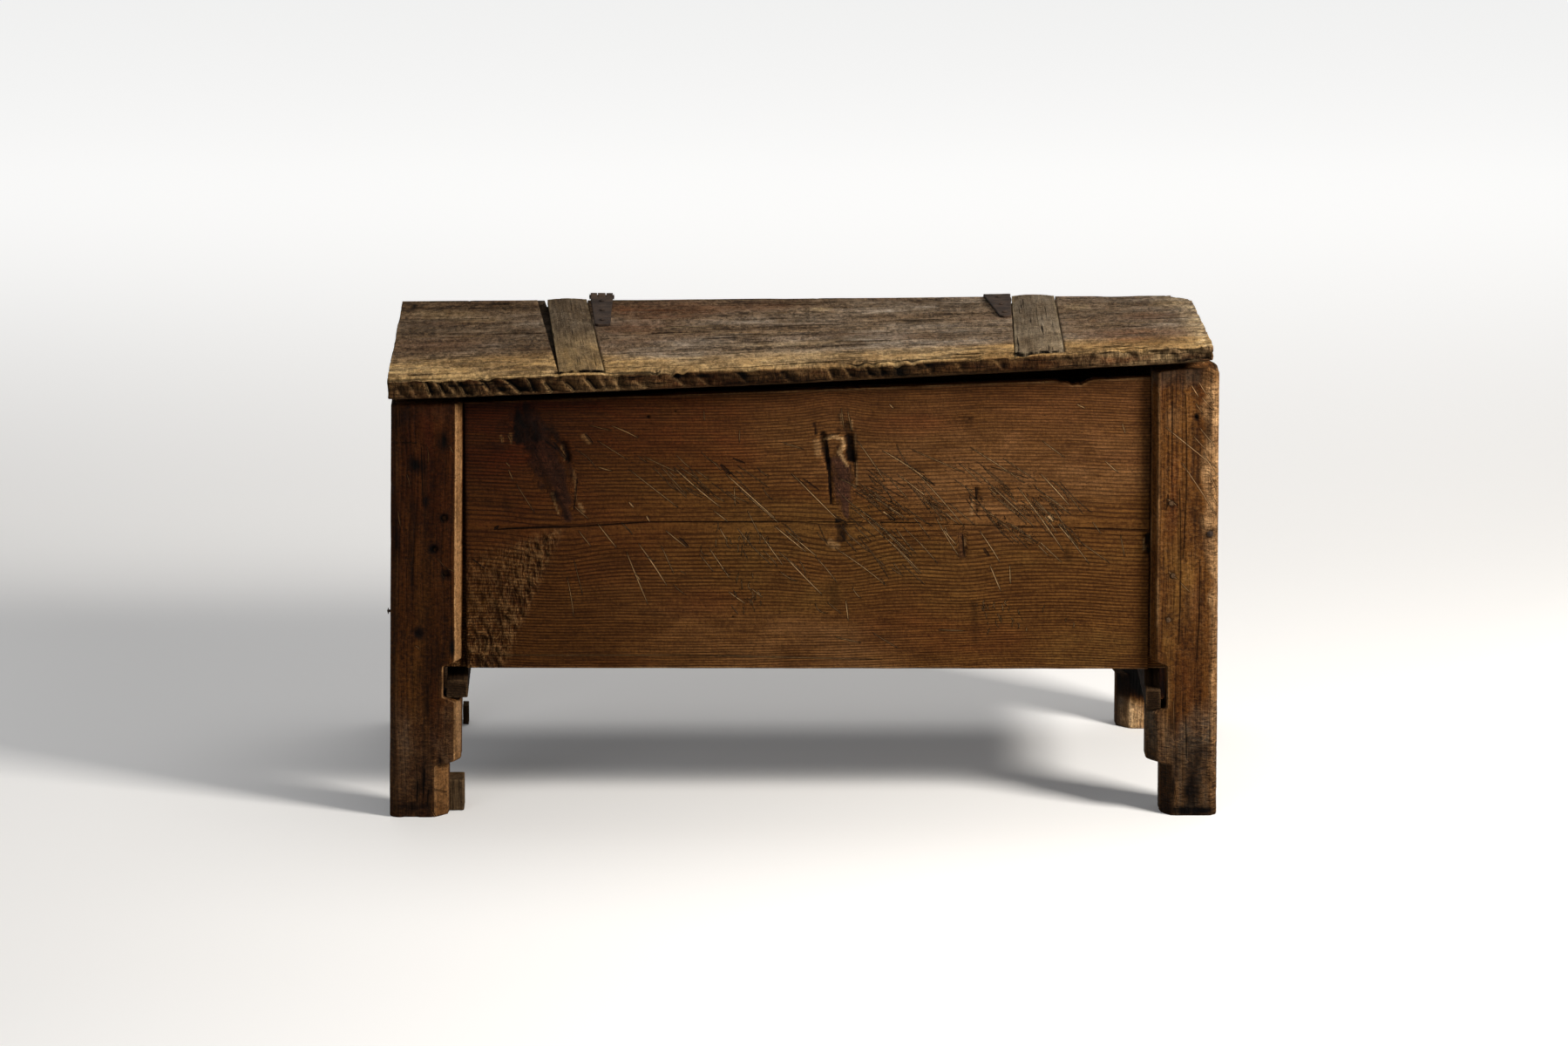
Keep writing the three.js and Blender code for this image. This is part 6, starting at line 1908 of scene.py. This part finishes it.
def make_peg(node, axis, seed):
    """A peg driven into the wood, whittled by hand, with an uneven end."""
    low, high = (np.array(corner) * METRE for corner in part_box(node))
    size, centre = high - low, (low + high) / 2
    length = size[axis]
    radius = min(np.delete(size, axis)) / 2 - 0.35
    sunk = node.startswith("peg_front_left")
    along = np.array([0, 0.35, 1.0, 2.4, *np.linspace(4.5, length - 1, 8), length])
    along[:4] += PEG_SUNK * sunk
    shrink = np.array([1.3, 0.7, 0.3, 0.05, *np.zeros(8), 0.8])
    turn = np.arange(PEG_SIDES) / PEG_SIDES * 2 * math.pi
    x, y = np.cos(turn), np.sin(turn)
    uneven = 0.35 * noise(columns(x, y, 0) * 3, (1.3, 1.3, 1), seed)
    reach = radius - shrink[:, None] + uneven
    points = columns(x * reach, y * reach, along[:, None]).reshape(-1, 3)
    faces = tube_faces(len(along), PEG_SIDES)
    loops = np.arange(len(points)).reshape(len(along), PEG_SIDES)
    shares = [0.8, 0.5, 0.25]
    points = cap(points, faces, loops[0][::-1], np.array([0.4, -0.3, 0.25 + along[0]]), shares)
    points = cap(points, faces, loops[-1], np.array([0, 0, length]), shares)
    a, b, c = points.T
    world = np.zeros_like(points)
    for other, value in zip(np.delete([0, 1, 2], axis), (a, b)):
        world[:, other] = centre[other] + value
    from_back = node.startswith("peg_back")
    world[:, axis] = high[axis] - c if from_back else low[axis] + c
    away = np.hypot(a, b)
    rim = 0.5 * smooth(2.4, 3.6, away)
    values = wood_values(
        (c, a, b + seed * 40.0), away / 1.6, SUNK_PEG_SHADE_TONE if sunk else PEG_TONE,
        (0, 0.5 * rim, 0.25 * (1 - rim)))
    make_piece(f"{node}_wood", world, faces, "chest", "peg_wood", node, values)


# The size of the forged pieces' faces in metres, and how much thinner than the frame's they are
FORGE_MESH = 0.0009
FORGE_THINNER = 0.35


def forge(node, body):
    """A frame node of iron, copied, remeshed finely and hammered uneven."""
    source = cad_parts[node]
    piece = bpy.data.objects.new(f"{node}_iron", source.data.copy())
    bpy.context.scene.collection.objects.link(piece)
    remesh = piece.modifiers.new("fine", "REMESH")
    remesh.mode = "VOXEL"
    remesh.voxel_size = FORGE_MESH
    bpy.context.view_layer.update()
    shaped = piece.evaluated_get(bpy.context.evaluated_depsgraph_get())
    mesh = bpy.data.meshes.new_from_object(shaped)
    piece.modifiers.clear()
    piece.data = mesh
    count = len(mesh.vertices)
    places, outward = np.zeros(count * 3), np.zeros(count * 3)
    mesh.vertices.foreach_get("co", places)
    mesh.vertices.foreach_get("normal", outward)
    places, outward = places.reshape(-1, 3) * METRE, outward.reshape(-1, 3)
    edges = np.zeros(len(mesh.edges) * 2, int)
    mesh.edges.foreach_get("vertices", edges)
    first, second = edges.reshape(-1, 2).T
    for _ in range(2):
        total = np.zeros_like(places)
        number = np.zeros(count)
        for a, b in ((first, second), (second, first)):
            np.add.at(total, a, places[b])
            np.add.at(number, a, 1)
        places = 0.5 * places + 0.5 * total / number[:, None]
    push = 0.35 * fractal(places, 14, 401) + 0.15 * fractal(places, 4, 402) - FORGE_THINNER
    places = places + outward * push[:, None]
    mesh.vertices.foreach_set("co", (places / METRE).ravel())
    mesh.polygons.foreach_set("use_smooth", [True] * len(mesh.polygons))
    set_material(piece, "forged_iron")
    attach(piece, body)
    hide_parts(node)


def set_material(obj, slot):
    obj.data.materials.clear()
    obj.data.materials.append(MATERIALS[slot])


def make_small_pieces():
    for number in (1, 2, 3):
        node = f"floor_board_{number}"
        make_board(f"{node}_wood", node, "floor_wood", "x", "+z", 300 + 7 * number, 5.0)
    pegs = [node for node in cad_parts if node.startswith("peg_")]
    for number, node in enumerate(sorted(pegs)):
        make_peg(node, 0 if node == "peg_plug_1" else 1, 330 + number)
    for side in ("left", "right"):
        forge(f"lid_strap_{side}", "lid")
        forge(f"back_leaf_{side}", "chest")
    for node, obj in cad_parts.items():
        if "nail" in node or "hinge_pin" in node:
            set_material(obj, "forged_iron")


# Stage, lights and camera

def make_stage():
    bpy.ops.mesh.primitive_plane_add(size=60, location=(0, 0, 0))
    floor = bpy.context.object
    floor.name = "floor"
    g = Graph("floor")
    path = g.node("ShaderNodeLightPath").outputs
    seen = g.larger(path["Is Camera Ray"], path["Is Glossy Ray"])
    seen = g.larger(seen, path["Is Transmission Ray"])
    color = g.mix(seen, (0.30, 0.29, 0.28), (0.82, 0.81, 0.80))
    g.set("Base Color", color)
    x, y, _ = g.parts(g.node("ShaderNodeNewGeometry").outputs["Position"])
    far, near = g.step(y, 0.6, 4.5), g.step(y, -0.9, -2.4)
    sides = g.step(g.size(x), 0.9, 2.4)
    glow = g.larger(far, g.larger(g.times(sides, 0.35), g.times(near, 0.2)))
    g.set("Emission Color", (1.0, 1.0, 0.99, 1.0))
    g.set("Emission Strength", g.times(seen, g.fma(glow, 0.62, 0.08)))
    g.set("Roughness", 0.9)
    g.set("Specular IOR Level", 0.1)
    floor.data.materials.append(g.material)


def area_light(name, place, target, size, power, color):
    light = bpy.data.lights.new(name, "AREA")
    light.shape = "RECTANGLE"
    light.size, light.size_y = size
    light.energy = power
    light.color = color
    obj = bpy.data.objects.new(name, light)
    bpy.context.scene.collection.objects.link(obj)
    obj.location = place
    direction = np.array(target) - np.array(place)
    turn = math.atan2(direction[1], direction[0]) - math.pi / 2
    tilt = math.atan2(direction[2], math.hypot(direction[0], direction[1]))
    obj.rotation_euler = Euler((math.pi / 2 + tilt, 0, turn), "XYZ")


def make_lights():
    area_light("key", (2.7, -1.9, 2.25), (0, 0, 0.38), (0.9, 0.9), 205, (1.0, 0.96, 0.9))
    area_light("fill", (-2.6, -4.2, 2.2), (0, 0, 0.3), (2.6, 2.0), 38, (0.93, 0.96, 1.0))
    area_light("top", (0.2, 0.9, 3.6), (0, 0, 0.5), (2.6, 2.2), 45, (1.0, 0.98, 0.95))
    world = bpy.data.worlds.new("studio")
    world.use_nodes = True
    background = world.node_tree.nodes["Background"]
    background.inputs["Color"].default_value = (0.92, 0.95, 1.0, 1.0)
    background.inputs["Strength"].default_value = 0.16
    bpy.context.scene.world = world


def make_camera():
    data = bpy.data.cameras.new("camera")
    data.sensor_fit = "HORIZONTAL"
    data.sensor_width = SENSOR_WIDTH
    data.lens = FOCAL_PIXELS / IMAGE_WIDTH * SENSOR_WIDTH
    data.clip_start, data.clip_end = 0.1, 200
    camera = bpy.data.objects.new("camera", data)
    camera.location = CAMERA_PLACE / METRE
    camera.rotation_euler = camera_turn()
    bpy.context.scene.collection.objects.link(camera)
    bpy.context.scene.camera = camera
    bpy.context.scene.view_settings.view_transform = "Standard"


make_camera()
make_lights()
make_stage()
make_front_panel()
make_lid()
make_batten("left_batten_wood", "lid_batten_left", LEFT_BATTEN, 1.5, 0.6, 0.9, 1.0, 90)
make_batten("right_batten_wood", "lid_batten_right", RIGHT_BATTEN, 1.7, 2.6, 0.15, 1.25, 104)
for post in (LEFT_POST, RIGHT_POST, BACK_LEFT_POST, BACK_RIGHT_POST):
    make_post({**POST, **post})
make_boards()
make_small_pieces()
